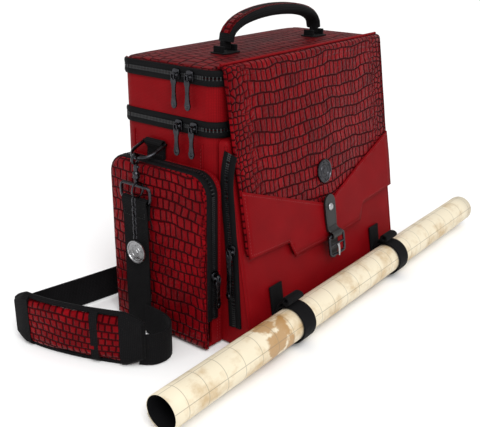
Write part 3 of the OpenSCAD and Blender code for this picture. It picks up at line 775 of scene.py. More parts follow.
def sidePocket():
    # the nylon gusset that stands out from the side
    path = denser(pocketOutline(1.6, 3.0), 7)
    gusset = bmesh.new()
    depth = -halfW - pocket["zipX"]
    for p in path:
        p.x = -halfW
    sweep(gusset, [(-2.6, -0.6), (0.2, -0.6), (0.9, 1.6), (0.0, 4.5), (0.1, depth - 4), (-0.4, depth - 1),
                   (-2.6, depth - 1)], pocketFrames(path))
    makePiece("pocketGusset", gusset, "case", nylon, ["side_pocket_gusset"], swept=(0, 0))
    floor = bmesh.new()
    bmesh.ops.create_cube(floor, size=1)
    bmesh.ops.scale(floor, vec=(depth + 5, pocket["yBack"] - pocket["yFront"] - 3, 3), verts=floor.verts)
    bmesh.ops.translate(floor, vec=(-halfW - depth / 2 - 2.5, (pocket["yFront"] + pocket["yBack"]) / 2,
            4.5), verts=floor.verts)
    bevelEdges(floor, floor.edges[:], 1.2, 3)
    makePiece("pocketBottom", floor, "case", nylon)
    # the zip between gusset and cover
    zipPath = denser(pocketOutline(0.4, 34.0), 6)
    for p in zipPath:
        p.x = pocket["zipX"]
    zipHalf("pocketZipInner", "case", zipPath, None, pocketFrames, -1, ["pocket_zip_inner_tape"])
    zipHalf("pocketZipOuter", "case", zipPath, None, pocketFrames, 1, ["pocket_zip_outer_tape"])
    # the padded cover
    cover = bmesh.new()
    outline = denser(pocketOutline(0.6, 2.4), 12)
    face = cover.faces.new([cover.verts.new((pocket["zipX"] - 5.2, p.y, p.z)) for p in outline])
    made = bmesh.ops.extrude_face_region(cover, geom=[face])["geom"]
    bmesh.ops.translate(cover, vec=(-5.6, 0, 0), verts=[g for g in made if isinstance(g, bmesh.types.BMVert)])
    bmesh.ops.recalc_face_normals(cover, faces=cover.faces)
    outer = [f for f in cover.faces if f.normal.x < -0.9]
    bevelEdges(cover, list({e for f in outer for e in f.edges}), 4.2, 5)
    slicesAlong(cover, 1, pocket["yFront"], pocket["yBack"], 10)
    slicesAlong(cover, 2, 2, pocket["top"], 10)
    for v in cover.verts:
        if v.co.x < pocket["zipX"] - 9.9:
            nearY = min(v.co.y - pocket["yFront"], pocket["yBack"] - v.co.y) / 34
            nearZ = min(v.co.z - 2, pocket["top"] - v.co.z) / 34
            v.co.x -= 1.5 * math.sin(math.pi / 2 * min(1, max(0, nearY))) * math.sin(math.pi / 2 * min(1,
                    max(0, nearZ))) + wrinkle(v.co, 40, 0.4, 9)
    middle = (pocket["yFront"] + pocket["yBack"]) / 2
    makePiece("pocketCover", cover, "case", crocPocket, ["pocket_door"],
              uv=lambda co, n: ((co.y - middle) + (co.x - pocketLow.x) * (1 if co.y > middle else -1), co.z))
    seam = bmesh.new()
    welt = denser(pocketOutline(1.2, 3.0), 7)
    for p in welt:
        p.x = pocket["zipX"] - 7.4
    sweep(seam, roundProfile(1.1, 8), pocketFrames(welt))
    makePiece("pocketCoverPiping", seam, "case", crocSmall, swept=(0, 0))
    for v, (x, inset) in {"pocketGussetStitches": (-halfW - 3.2, 0.9),
            "pocketTapeStitches": (pocket["zipX"] + 8.6, 1.2)}.items():
        row = bmesh.new()
        path = denser(pocketOutline(inset, 8.0), 4)
        for p in path:
            p.x = x
        stitchRow(row, path, lambda q: Vector((0, -1, 0)) if q.z < pocket["top"] - 20 and q.y < middle else
                  (Vector((0, 1, 0)) if q.z < pocket["top"] - 20 else (q - Vector((x, min(max(q.y, -50),
                          40), pocket["top"] - 20))).normalized()))
        makePiece(v, row, "case", redThread)


sidePocket()
print("side pocket made")


# ---- the front organiser ----

def frontWedge():
    y0, yLow, top = -halfD - 0.4, -halfD - 44, 213
    yTop = -halfD - 44 * (273 - top) / 273
    bm = bmesh.new()
    outline = [(y0, 0.3), (yLow + 5, 0.3), (yLow + 1.4, 2), (yLow, 6), (yTop, top - 3), (yTop + 2.5, top),
            (y0, top)]
    face = bm.faces.new([bm.verts.new((-halfW + 1.2, y, z)) for y, z in outline])
    made = bmesh.ops.extrude_face_region(bm, geom=[face])["geom"]
    bmesh.ops.translate(bm, vec=(2 * halfW - 2.4, 0, 0), verts=[g for g in made if isinstance(g,
            bmesh.types.BMVert)])
    bmesh.ops.recalc_face_normals(bm, faces=bm.faces)
    side = [e for e in bm.edges if len(e.link_faces) == 2
            and abs(e.link_faces[0].normal.x - e.link_faces[1].normal.x) > 0.8
            and min(v.co.y for v in e.verts) < -halfD - 5]
    bevelEdges(bm, side, 4.5, 4)
    slicesAlong(bm, 2, 0, top, 9)
    slicesAlong(bm, 0, -halfW, halfW, 12)
    slicesAlong(bm, 1, yLow, y0, 9)
    for v in bm.verts:
        up = math.sin(math.pi * min(max(v.co.z / top, 0), 1))
        across = max(0.0, 1 - (v.co.x / halfW) ** 6)
        face = yLow + (yTop - yLow) * v.co.z / top
        if v.co.y < face + 2.5 and v.co.z > 4:
            v.co.y += (1.2 - wrinkle(v.co, 60, 2.4, 2.2)) * up * across * (1 if v.co.z > 95 else 0.6)
        if abs(v.co.x) > halfW - 2.5:
            depth = math.sin(math.pi * min(max((v.co.y - face) / (y0 - face), 0), 1)) if y0 - face > 1 else 0
            v.co.x += math.copysign((1.4 + wrinkle(v.co, 24, 0.9, 8)) * depth * up, v.co.x)
    makePiece("frontOrganiser", bm, "case", nylon, ["front_pocket"])
    # piping down both front corners
    piping = bmesh.new()
    for side in (-1, 1):
        path = [Vector((side * (halfW - 1.4), yLow + 1.2 + (yTop - yLow) * t, 5 + (top - 9) * t))
                for t in [i / 16 for i in range(17)]]
        sweep(piping, roundProfile(1.25, 8), ringFrames(path, (side, -1, 0)))
    makePiece("organiserPiping", piping, "case", nylon, swept=(0, 0))


frontWedge()


def frontZip():
    line = smoothPath([(0, -85.6, 24), (0, -84.0, 52), (0, -81.6, 90), (0, -79.4, 118), (0, -76.6, 146), (0,
            -74.6, 168),
                       (0, -75.2, 184), (0, -77.4, 197), (0, -79.0, 203)], 5)
    for p in line:
        p.x = -halfW + 0.6
    def seats(points):
        frames = []
        for i, p in enumerate(points):
            along = (points[min(i + 1, len(points) - 1)] - points[max(i - 1, 0)]).normalized()
            out = Vector((-1, 0, 0))
            side = out.cross(along).normalized()
            frames.append(Matrix.Translation(p) @ Matrix((out, side, out.cross(side))).transposed().to_4x4())
        return frames
    zipHalf("frontZipBack", "case", line, None, seats, -1, ["front_zip_tape"])
    zipHalf("frontZipFront", "case", line, None, seats, 1, [])


frontZip()
print("front organiser made")


# ---- the flap ----

flap = {"half": 143, "gap": 2.2, "thick": 2.6, "vSide": -109, "vMid": -160.5, "low": -176, "step": 74,
        "stepIn": 66,
        "stepLow": -182, "tongue": -200}


def flapDrape(x, y):
    # how far the cloth stands off the flat: slow waves that grow towards the free edge
    free = min(max(-y / 200, 0), 1)
    return (1.1 * math.sin(x * 0.043 + 0.8) * free + 0.7 * math.sin(x * 0.019 - y * 0.03) * free
            + wrinkle(Vector((x, y, 0)), 38, 0.9, 3.0) * free)


def drapedSheet(name, outline, lift, thick, material, inner, stands, cell=8):
    bm = bmesh.new()
    bm.faces.new([bm.verts.new((x, y, 0)) for x, y in outline])
    slicesAlong(bm, 0, -flap["half"], flap["half"], cell)
    slicesAlong(bm, 1, -208, 8, cell)
    for v in bm.verts:
        v.co.z = lift + max(flapDrape(v.co.x, v.co.y), -1.2)
    for f in bm.faces:
        f.normal_update()
        if f.normal.z < 0:
            f.normal_flip()
    bmesh.ops.transform(bm, matrix=onFront, verts=bm.verts)
    back = onFront.inverted()
    return makePiece(name, bm, "flap", material, stands, turn=False, wall=thick, inner=inner,
                     uv=lambda co, n: ((back @ co).x, (back @ co).y))


def trimOutline():
    f = flap
    left = [(-f["half"], f["vSide"]), (0, f["vMid"]), (f["half"], f["vSide"])]
    low = [(f["half"], f["low"]), (f["step"], f["stepLow"]), (f["stepIn"], f["tongue"]), (-f["stepIn"],
            f["tongue"]),
           (-f["step"], f["stepLow"]), (-f["half"], f["low"])]
    return left + low


def onDrape(x, y, lift):
    return onFront @ Vector((x, y, lift + max(flapDrape(x, y), -1.2)))


def flapPieces():
    f = flap
    crocOutline = [(-f["half"], 2.5), (-f["half"], f["low"] + 2), (-f["step"], f["stepLow"] + 2),
            (-f["stepIn"] + 1, f["tongue"] + 2),
                   (f["stepIn"] - 1, f["tongue"] + 2), (f["step"], f["stepLow"] + 2), (f["half"], f["low"]
                           + 2), (f["half"], 2.5)]
    drapedSheet("flapCroc", crocOutline, f["gap"] + f["thick"], f["thick"], crocFlap, lining, ["flap_panel"])
    drapedSheet("flapTrim", trimOutline(), f["gap"] + f["thick"] + 1.7, 1.6, nylon, nylon, ["flap_trim"])
    # stitches along the trim's V and its lower edge
    bm = bmesh.new()
    lift = f["gap"] + f["thick"] + 1.75
    outwards = onFront.to_3x3() @ Vector((0, 0, 1))
    runs = [[(-f["half"] + 1, f["vSide"] - 3.2), (0, f["vMid"] - 3.2), (f["half"] - 1, f["vSide"] - 3.2)],
            [(-f["half"] + 2.5, f["vSide"] - 4), (-f["half"] + 2.5, f["low"] + 2.6), (-f["step"],
                    f["stepLow"] + 2.8),
             (-f["stepIn"] + 1.6, f["tongue"] + 2.8), (f["stepIn"] - 1.6, f["tongue"] + 2.8), (f["step"],
                     f["stepLow"] + 2.8),
             (f["half"] - 2.5, f["low"] + 2.6), (f["half"] - 2.5, f["vSide"] - 4)]]
    for run in runs:
        dense = denser([Vector((x, y, 0)) for x, y in run], 4)
        stitchRow(bm, [onDrape(p.x, p.y, lift) for p in dense], outwards)
    makePiece("flapStitches", bm, "flap", redThread)
    # bound edges down both sides
    edge = bmesh.new()
    for side in (-1, 1):
        path = [onDrape(side * (f["half"] - 0.4), -y, f["gap"] + f["thick"] * 0.55) for y in range(0, 176, 8)]
        sweep(edge, roundProfile(1.7, 8), ringFrames(path, (side, 0, 0)))
    makePiece("flapEdgePiping", edge, "flap", crocSmall, swept=(0, 0))
    # the fold over the lid's front edge
    fold = bmesh.new()
    points = [(-56.5, 279.4), (-60.0, 280.1), (-63.4, 280.0), (-66.3, 278.8), (-67.8, 276.6), (-68.5,
            273.4), (-69.2, 269.4)]
    curve = smoothPath([Vector((0, y, z)) for y, z in points], 1.6)
    outline = [(p.y, p.z) for p in curve]
    verts = [fold.verts.new((-f["half"] - 0.6, y, z)) for y, z in outline]
    edges = [fold.edges.new(pair) for pair in zip(verts, verts[1:])]
    made = bmesh.ops.extrude_edge_only(fold, edges=edges)["geom"]
    bmesh.ops.translate(fold, vec=(2 * f["half"] + 1.2, 0, 0), verts=[g for g in made if isinstance(g,
            bmesh.types.BMVert)])
    slicesAlong(fold, 0, -f["half"], f["half"], 12)
    for face in fold.faces:
        face.normal_update()
    if sum(face.normal.z for face in fold.faces) < 0:
        bmesh.ops.reverse_faces(fold, faces=fold.faces)
    piece = makePiece("flapFold", fold, None, crocFlap, turn=False, wall=2.2, inner=lining, uv=lambda co,
            n: (co.x, co.z - 273.8 + max(0.0, co.y + 69)))
    for modifier in list(piece.modifiers):
        bpy.context.view_layer.objects.active = piece
        piece.select_set(True)
        bpy.ops.object.modifier_apply(modifier=modifier.name)
    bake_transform(piece, "lid", "flap", start=(0, -0.0625, 0.2800), end=(0, -0.0700, 0.2745))
    ridge = bmesh.new()
    path = [Vector((x, -61.2, lidHigh.z + 0.6)) for x in range(-142, 143, 12)] + [Vector((143, -61.2,
            lidHigh.z + 0.6))]
    sweep(ridge, roundProfile(1.5, 8), ringFrames(path))
    makePiece("flapRidgePiping", ridge, "lid", nylon, swept=(0, 0))


flapPieces()


def lathe(bm, outline, steps=48):
    # spins an (r, z) outline about Z; both ends may lie on the axis
    verts = [bm.verts.new((max(r, 0.0), 0, z)) for r, z in outline]
    edges = [bm.edges.new(pair) for pair in zip(verts, verts[1:])]
    bmesh.ops.spin(bm, geom=verts + edges, axis=(0, 0, 1), cent=(0, 0, 0), angle=2 * math.pi, steps=steps,
            use_merge=True)
    bmesh.ops.remove_doubles(bm, verts=bm.verts, dist=0.001)


badge = {"radius": 13, "y": -124}


def flapBadge():
    bm = bmesh.new()
    lathe(bm, [(0, 0), (13, 0), (13.2, 0.8), (12.6, 2.1), (11.4, 2.3), (10.8, 1.5), (7.6, 1.45), (7.2, 2.0),
            (6.4, 2.0), (6.0, 1.5), (0, 1.8)])
    for i in range(6):  # a plain ring of studs
        a = math.radians(60 * i + 30)
        bmesh.ops.create_uvsphere(bm, u_segments=10, v_segments=6, radius=0.95,
                                  matrix=Matrix.Translation((9.2 * math.cos(a), 9.2 * math.sin(a), 1.6))
                                          @ Matrix.Diagonal((1, 1, 0.7, 1)))
    bmesh.ops.create_cone(bm, cap_ends=True, segments=6, radius1=4.2, radius2=3.4, depth=0.8,
            matrix=Matrix.Translation((0, 0, 1.9)))
    bmesh.ops.transform(bm, matrix=onFront @ Matrix.Translation((0, badge["y"], flap["gap"] + flap["thick"]
            + flapDrape(0, badge["y"]) - 0.1)), verts=bm.verts)
    makePiece("flapMedallion", bm, "flap", gunmetal, ["front_badge"])


flapBadge()

tab = {"barY": -194.7, "barZ": 13.9, "out": 7.7, "half": 10, "top": -160}


def closurePieces():
    t = tab
    # the tab: a leather strip with a round top that rolls round the buckle's bar
    bm = bmesh.new()
    outline = [(t["half"] * math.cos(math.radians(a)), t["top"] + t["half"] * math.sin(math.radians(a)))
            for a in range(0, 181, 15)]
    outline += [(-t["half"], -176), (-9, -190), (9, -190), (t["half"], -176)]
    face = bm.faces.new([bm.verts.new((x, y, t["out"])) for x, y in outline])
    made = bmesh.ops.extrude_face_region(bm, geom=[face])["geom"]
    bmesh.ops.translate(bm, vec=(0, 0, 2.2), verts=[g for g in made if isinstance(g, bmesh.types.BMVert)])
    loop = [Vector((0, t["barY"] + 3.6 * math.cos(math.radians(a)), t["barZ"]
            + 2.4 * math.sin(math.radians(a)))) for a in range(-40, 221, 20)]
    path = [Vector((0, -186, t["out"] + 1.9)), Vector((0, -189.4, t["out"] + 3.0))] + loop[1:]
    across = Vector((1, 0, 0))
    frames = []
    for i, p in enumerate(path):
        along = (path[min(i + 1, len(path) - 1)] - path[max(i - 1, 0)]).normalized()
        frames.append(Matrix.Translation(p) @ Matrix((across, along.cross(across),
                along)).transposed().to_4x4())
    sweep(bm, stripProfile(18, 1.5, 0.6, 0), frames)
    bmesh.ops.transform(bm, matrix=onFront, verts=bm.verts)
    makePiece("closureTab", bm, "flap", blackLeather, ["closure_tab"], bevel=0.5)
    # the pointed strap behind the frame
    bm = bmesh.new()
    outline = [(-8.6, -196), (8.6, -196), (9, -213), (5, -219), (0, -223.5), (-5, -219), (-9, -213)]
    face = bm.faces.new([bm.verts.new((x, y, t["out"] + 0.1)) for x, y in outline])
    made = bmesh.ops.extrude_face_region(bm, geom=[face])["geom"]
    bmesh.ops.translate(bm, vec=(0, 0, 2.2), verts=[g for g in made if isinstance(g, bmesh.types.BMVert)])
    bmesh.ops.transform(bm, matrix=onFront, verts=bm.verts)
    makePiece("closurePoint", bm, "flap", blackLeather, ["closure_strap"], bevel=0.6)
    stitches = bmesh.new()
    outwards = onFront.to_3x3() @ Vector((0, 0, 1))
    for run in ([(-7.6, -188), (-7.6, -160)], [(7.6, -160), (7.6, -188)], [(-6.6, -200), (-6.6, -212), (0,
            -220), (6.6, -212), (6.6, -200)]):
        stitchRow(stitches, [onFront @ Vector((x, y, t["out"] + 2.25)) for x, y in run], outwards, 2.8, 1.9,
                0.3)
    makePiece("closureStitches", stitches, "flap", blackThread)
    # domed rivet
    rivet = bmesh.new()
    lathe(rivet, [(0, 0), (4, 0), (4.1, 0.5), (3.2, 1.5), (1.6, 2.0), (0, 2.1)], 24)
    bmesh.ops.transform(rivet, matrix=onFront @ Matrix.Translation((0, -164, t["out"] + 2.2)),
            verts=rivet.verts)
    makePiece("closureRivet", rivet, "flap", nickel, ["rivets"])
    # the buckle: a round-wire frame with a middle bar
    bm = bmesh.new()
    w, top, low, r = 14.6, 11.3, -11.3, 4
    corner = lambda cx, cy, a0: [Vector((cx + r * math.cos(math.radians(a0 + 90 * i / 5)), cy
            + r * math.sin(math.radians(a0 + 90 * i / 5)), 0)) for i in range(6)]
    ring = corner(w - r, top - r, 0) + corner(-w + r, top - r, 90) + corner(-w + r, low + r,
            180) + corner(w - r, low + r, 270)
    sweep(bm, roundProfile(1.5, 10), ringFrames(ring, (0, 0, 1), closed=True), closed=True)
    sweep(bm, roundProfile(1.3, 10), ringFrames([Vector((-w, 0, 0)), Vector((0, 0, 0)), Vector((w, 0, 0))],
            (0, 0, 1)))
    bmesh.ops.transform(bm, matrix=onFront @ Matrix.Translation((0, t["barY"] - 11.3, t["barZ"])),
            verts=bm.verts)
    makePiece("buckleFrame", bm, "buckle", gunmetal, ["buckle_frame"])
    bm = bmesh.new()
    path = [Vector((0, 0.0, 1.6)), Vector((0, -1.8, 2.3)), Vector((0, -5, 2.6)), Vector((0, -10, 2.3)),
            Vector((0, -13.4, 2.0))]
    sweep(bm, roundProfile(1.3, 8, 0.8), ringFrames(path, (0, 0, 1)), sizes=[1.2, 1.2, 1.05, 0.95, 0.75])
    bmesh.ops.transform(bm, matrix=onFront @ Matrix.Translation((0, t["barY"] - 11.3, t["barZ"])),
            verts=bm.verts)
    makePiece("bucklePin", bm, "prong", nickel, ["buckle_prong"])


closurePieces()
print("flap and closure made")


# ---- the handle ----

handleLow, handleHigh = boxMm("handle_grip")
handle = {"y": (handleLow.y + handleHigh.y) / 2, "half": 80, "foot": lidHigh.z + 10.4, "pin": lidHigh.z
        + 5.0, "top": handleHigh.z}


def handlePath(drop, half):
    h = handle
    rise = h["top"] - drop - h["foot"]
    points = [Vector((-half, h["y"], h["foot"]))]
    for i in range(1, 20):
        t = i / 20
        points.append(Vector((-half * math.cos(math.pi * t) * (1 - 0.06 * math.sin(math.pi * t)), h["y"],
                              h["foot"] + rise * math.sin(math.pi * t) ** 0.72)))
    return points + [Vector((half, h["y"], h["foot"]))]


def handlePieces():
    h = handle
    core = bmesh.new()
    path = smoothPath(handlePath(5.0, h["half"] - 1), 5)
    # padded: nearly round where it is held, flat at both feet
    outline = roundProfile(10.2, 18, 0.6)
    sizes = [0.86 + 0.2 * math.sin(math.pi * i / (len(path) - 1)) for i in range(len(path))]
    turned = []
    for i, p in enumerate(path):
        along = (path[min(i + 1, len(path) - 1)] - path[max(i - 1, 0)]).normalized()
        acrossHandle = Vector((0, 1, 0))
        turned.append(Matrix.Translation(p) @ Matrix((acrossHandle, along.cross(acrossHandle) * -1,
                along * -1)).transposed().to_4x4())
    sweep(core, outline, turned, sizes=sizes)
    makePiece("handleGrip", core, "handle", webbing, ["handle_grip"], swept=(0, 0))
    tongues = bmesh.new()
    for side in (-1, 1):
        bmesh.ops.create_cube(tongues, size=1, matrix=Matrix.Translation((side * h["half"], h["y"],
                h["pin"] + 2.6)) @ Matrix.Diagonal((14, 4.4, 10, 1)))
    makePiece("handleTongues", tongues, "handle", webbing, bevel=1.6)
    cover = bmesh.new()
    top = [Matrix.Translation(m.translation + (m.to_3x3() @ Vector((0, 4.1, 0)) if (m.to_3x3() @ Vector((0,
            1, 0))).z > 0 else m.to_3x3() @ Vector((0, -4.1, 0)))) @ m.to_3x3().to_4x4() for m in turned]
    sweep(cover, stripProfile(13.5, 3.6, 1.6, 0), top[1:-1], sizes=sizes[1:-1])
    makePiece("handleCover", cover, "handle", crocSmall, swept=(0, 0))
    feet = bmesh.new()
    for side in (-1, 1):
        bmesh.ops.create_cube(feet, size=1, matrix=Matrix.Translation((side * h["half"], h["y"], lidHigh.z
                + 0.4)) @ Matrix.Diagonal((28, 20, 1.3, 1)))
        for end in (-10, 10):
            bmesh.ops.create_cube(feet, size=1, matrix=Matrix.Translation((side * h["half"] + end, h["y"],
                    lidHigh.z + 3.8)) @ Matrix.Diagonal((3.6, 12, 7.0, 1)))
    bevelEdges(feet, [e for e in uprightEdges(feet) if e.calc_length() < 2], 4, 4)
    makePiece("handleFeet", feet, "lid", webbing, ["handle_anchors"], bevel=0.5)
    rows = bmesh.new()
    for side in (-1, 1):
        cx, z = side * h["half"], lidHigh.z + 1.1
        box = [(cx - 11, h["y"] - 8), (cx + 11, h["y"] - 8), (cx + 11, h["y"] + 8), (cx - 11, h["y"] + 8),
                (cx - 11, h["y"] - 8)]
        stitchRow(rows, [Vector((x, y, z)) for x, y in box], (0, 0, 1), 3.0, 2.0, 0.35)
    makePiece("handleStitches", rows, "lid", blackThread)


handlePieces()
print("handle made")


# ---- the rings, hooks and straps ----

strapW = 34
strapY = 16


def bandFrames(path, across):
    # X across the band, Y out of its face, Z along
    frames = []
    side = Vector(across).normalized()
    for i, p in enumerate(path):
        along = (path[min(i + 1, len(path) - 1)] - path[max(i - 1, 0)]).normalized()
        face = along.cross(side).normalized()
        sideNow = face.cross(along).normalized()
        frames.append(Matrix.Translation(p) @ Matrix((sideNow, face,
                sideNow.cross(face))).transposed().to_4x4())
    return frames


def band(bm, path, across, width=strapW, thick=2.0):
    sweep(bm, stripProfile(width, thick, 0.7, 0), bandFrames([Vector(p) for p in path], across))


def wireLoop(bm, points, radius, up=(0, 1, 0)):
    sweep(bm, roundProfile(radius, 8), ringFrames(points, up, closed=True), closed=True)


def arcPoints(centre, radius, start, stop, plane, steps=12):
    a, b = Vector(plane[0]), Vector(plane[1])
    return [Vector(centre) + a * (radius * math.cos(math.radians(start + (stop - start) * i / steps)))
            + b * (radius * math.sin(math.radians(start + (stop - start) * i / steps)))
                    for i in range(steps + 1)]


def ringTabs():
    bm = bmesh.new()
    x0, z0 = 153.2, 198
    for side in (-1, 1):
        path = [Vector((side * (halfW + 1.6), 14, 171)), Vector((side * (halfW + 1.7), 14, 182)),
                Vector((side * (halfW + 1.8), 14, 191))]
        path += [Vector((side * (x0 - 3.0 * math.cos(math.radians(a))), 14, z0
                + 3.0 * math.sin(math.radians(a)))) for a in range(-10, 241, 25)]
        path += [Vector((side * (x0 - 1.2), 14, 192)), Vector((side * (halfW + 3.4), 14, 184)),
                Vector((side * (halfW + 3.3), 14, 172))]
        band(bm, smoothPath(path, 2.5), (0, 1, 0), 24, 1.5)
    makePiece("ringTabs", bm, "case", webbing, ["ring_tabs"], swept=(0, 0))
    rows = bmesh.new()
    for side in (-1, 1):
        x = side * (halfW + 4.15)
        box = [(4, 173), (24, 173), (24, 186), (4, 186), (4, 173)]
        stitchRow(rows, [Vector((x, y, z)) for y, z in box], (side, 0, 0), 2.8, 1.9, 0.3)
    makePiece("ringTabStitches", rows, "case", blackThread)


ringTabs()
for node in ("left_d_ring", "right_d_ring"):
    nodes[node].data.materials.clear()
    nodes[node].data.materials.append(gunmetal)


def snapHook(name, node, body):
    low, high = boxMm(node)
    x = (low.x + high.x) / 2
    top = high.z - 5.9
    y = 14.0
    bm = bmesh.new()
    # the bow, drawn as a closed ring
    bow = arcPoints((x, y, top), 4.6, -90, 270, ((1, 0, 0), (0, 0, 1)), 20)[:-1]
    wireLoop(bm, bow, 1.35)
    body2 = [Vector((x, y, top - 4.4)), Vector((x, y, top - 6.5)), Vector((x, y, top - 9)), Vector((x, y,
            top - 12.4))]
    sweep(bm, roundProfile(2.0, 10), ringFrames(body2, (1, 0, 0)), sizes=[0.8, 1.0, 1.25, 1.1])
    # a thumb stud
    bmesh.ops.create_uvsphere(bm, u_segments=10, v_segments=8, radius=1.5, matrix=Matrix.Translation((x,
            y - 2.9, top - 7.5)))
    barrel = bmesh.new()
    lathe(barrel, [(0, -20), (2.8, -20), (3.8, -18.6), (3.2, -17.4), (3.2, -15.4), (3.8, -14.4), (2.6,
            -12.6), (0, -12.6)], 20)
    bmesh.ops.translate(barrel, vec=(x, y, top), verts=barrel.verts)
    mesh = bpy.data.meshes.new("barrel")
    barrel.to_mesh(mesh)
    barrel.free()
    bm.from_mesh(mesh)
    sweep(bm, roundProfile(1.9, 10), ringFrames([Vector((x, y, top - 19.6)), Vector((x, y, top - 23)),
            Vector((x, y, top - 27))], (1, 0, 0)))
    # the wide eye for the webbing
    zTop, zLow, half, r = top - 27, top - 43, 20, 4.5
    corner = lambda cy, cz, a0: [Vector((x, cy + r * math.cos(math.radians(a0 + 90 * i / 5)), cz
            + r * math.sin(math.radians(a0 + 90 * i / 5)))) for i in range(6)]
    eye = corner(strapY + half - r, zTop - r, 0) + corner(strapY - half + r, zTop - r,
            90) + corner(strapY - half + r, zLow + r, 180) + corner(strapY + half - r, zLow + r, 270)
    sweep(bm, roundProfile(1.55, 8), ringFrames(eye, (1, 0, 0), closed=True), closed=True)
    makePiece(name, bm, body, gunmetal, [node])
    return x, top


leftX, leftTop = snapHook("leftSnapHook", "left_snap_hook", "left_ring")
rightX, rightTop = snapHook("rightSnapHook", "right_snap_hook", "right_ring")


def strapDrops():
    for name, x, top, ring, nodesHere, side, zEnd in (
            ("leftStrap", leftX, leftTop, "left_ring", ["left_strap_drop", "left_strap_end"], -1, 1.2),
            ("rightStrap", rightX, rightTop, "right_ring", ["right_strap_drop", "right_strap_end"], 1, 36.5)):
        z = top - 43
        bm = bmesh.new()
        # up from the floor, round the eye's lower bar, and back down behind itself
        path = [Vector((x + side * 1.2, strapY, zz)) for zz in (zEnd, 16 + zEnd, 40 + zEnd, (z - 30 + 40
                + zEnd) / 2, z - 24)]
        path += [Vector((x + side * 2.2, strapY, z - 8))]
        path += [Vector((x + side * 3.0 * math.cos(math.radians(a)), strapY, z
                + 3.0 * math.sin(math.radians(a)))) for a in range(0, 181, 30)]
        path += [Vector((x - side * 2.4, strapY, z - 8)), Vector((x - side * 1.3, strapY, z - 18))]
        band(bm, smoothPath(path, 3.5), (0, 1, 0), strapW, 1.8)
        piece = makePiece(name + "Drop", bm, None, webbing, swept=(0, 0))
        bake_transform(piece, "case", ring, start=(x * mm, strapY * mm, 0.03 if side < 0 else 0.05), end=(x * mm,
                strapY * mm, (z - 14) * mm))
        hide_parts(*nodesHere)
        rows = bmesh.new()
        out = x + side * 2.35
        box = [(strapY - 14, z - 16), (strapY + 14, z - 16), (strapY + 14, z - 7), (strapY - 14, z - 7),
                (strapY - 14, z - 16)]
        stitchRow(rows, [Vector((out + side * 0.35, yy, zz)) for yy, zz in box], (side, 0, 0), 3.0, 2.0, 0.33)
        makePiece(name + "Stitches", rows, ring, blackThread)


strapDrops()

padRoute = [(-230, -38), (-238, -22), (-247, -2), (-256, 20), (-263, 42), (-268, 62), (-271, 84), (-272, 98)]
endRoute = [(-184.5, 4), (-185, -12), (-187.5, -28), (-194, -40), (-204, -47), (-215, -47.5), (-224, -43.5),
        (-228.5, -38), (-231.5, -33)]
backRoute = [(-271, 101), (-266, 108), (-257, 111), (-246, 110), (-215, 104), (-180, 97), (-140, 90), (-90,
        84), (-30, 80),
             (40, 78), (90, 77), (130, 74), (148, 66), (156.5, 52), (158, 34), (158, 4)]


def floorStraps():
    # the webbing stands on its edge along the floor
    bm = bmesh.new()
    path = smoothPath([Vector((x, y, 17.6)) for x, y in endRoute], 5)
    band(bm, path, (0, 0, 1), strapW, 2.0)
    makePiece("strapEndRun", bm, "case", webbing, ["strap_end_run"], swept=(0, 0))
    bm = bmesh.new()
    path = smoothPath([Vector((x, y, 19.6)) for x, y in backRoute], 7)
    band(bm, path, (0, 0, 1), strapW, 2.0)
    makePiece("strapBackRun", bm, "case", webbing, ["strap_back_run"], swept=(0, 0))
    low, high = boxMm("strap_adjuster")
    slide = bmesh.new()
    middle = (low + high) / 2
    half = (high - low) / 2
    r = 3
    corner = lambda cx, cz, a0: [Vector((cx + r * math.cos(math.radians(a0 + 90 * i / 4)), middle.y, cz
            + r * math.sin(math.radians(a0 + 90 * i / 4)))) for i in range(5)]
    loop = (corner(high.x - r - 1.5, high.z - r - 1.5, 0) + corner(low.x + r + 1.5, high.z - r - 1.5, 90)
            + corner(low.x + r + 1.5, low.z + r + 1.6, 180) + corner(high.x - r - 1.5, low.z + r + 1.6, 270))
    for y in (-2.6, 2.6):
        sweep(slide, roundProfile(1.4, 8), ringFrames([p + Vector((0, y, 0)) for p in loop], (0, 1, 0),
                closed=True), closed=True)
    sweep(slide, stripProfile(4, 7.6, 1.0, 0), ringFrames([Vector((middle.x, middle.y + 0.0, low.z + 0.3)),
            Vector((middle.x, middle.y, low.z + 1.6))], (0, 1, 0)))
    sweep(slide, roundProfile(1.5, 8), ringFrames([Vector((middle.x, middle.y + 2.6, low.z + 1.5)),
            Vector((middle.x, middle.y + 2.6, high.z - 1.5))], (0, 1, 0)))
    makePiece("strapAdjuster", slide, "case", acetal, ["strap_adjuster"])


floorStraps()


def puffUp(piece, voxel, pressure, reach):
    # swells the piece with cloth, and keeps each point within reach of where it began
    remesh = piece.modifiers.new("even", "REMESH")
    remesh.mode, remesh.voxel_size = "VOXEL", voxel * mm
    bpy.context.view_layer.objects.active = piece
    bpy.ops.object.select_all(action="DESELECT")
    piece.select_set(True)
    bpy.ops.object.modifier_apply(modifier="even")
    start = [v.co.copy() for v in piece.data.vertices]
    cloth = piece.modifiers.new("swell", "CLOTH")
    cloth.settings.use_pressure = True
    cloth.settings.uniform_pressure_force = pressure
    cloth.settings.effector_weights.gravity = 0
    cloth.settings.quality = 6
    for f in range(1, 15):
        scene.frame_set(f)
    bpy.ops.object.modifier_apply(modifier="swell")
    scene.frame_set(1)
    for v, was in zip(piece.data.vertices, start):
        move = v.co - was
        if move.length > reach * mm:
            v.co = was + move.normalized() * reach * mm
    bm = bmesh.new()
    bm.from_mesh(piece.data)
    bmesh.ops.smooth_vert(bm, verts=bm.verts, factor=0.5, use_axis_x=True, use_axis_y=True, use_axis_z=True)
    bm.to_mesh(piece.data)
    bm.free()
    piece.data.polygons.foreach_set("use_smooth", [True] * len(piece.data.polygons))


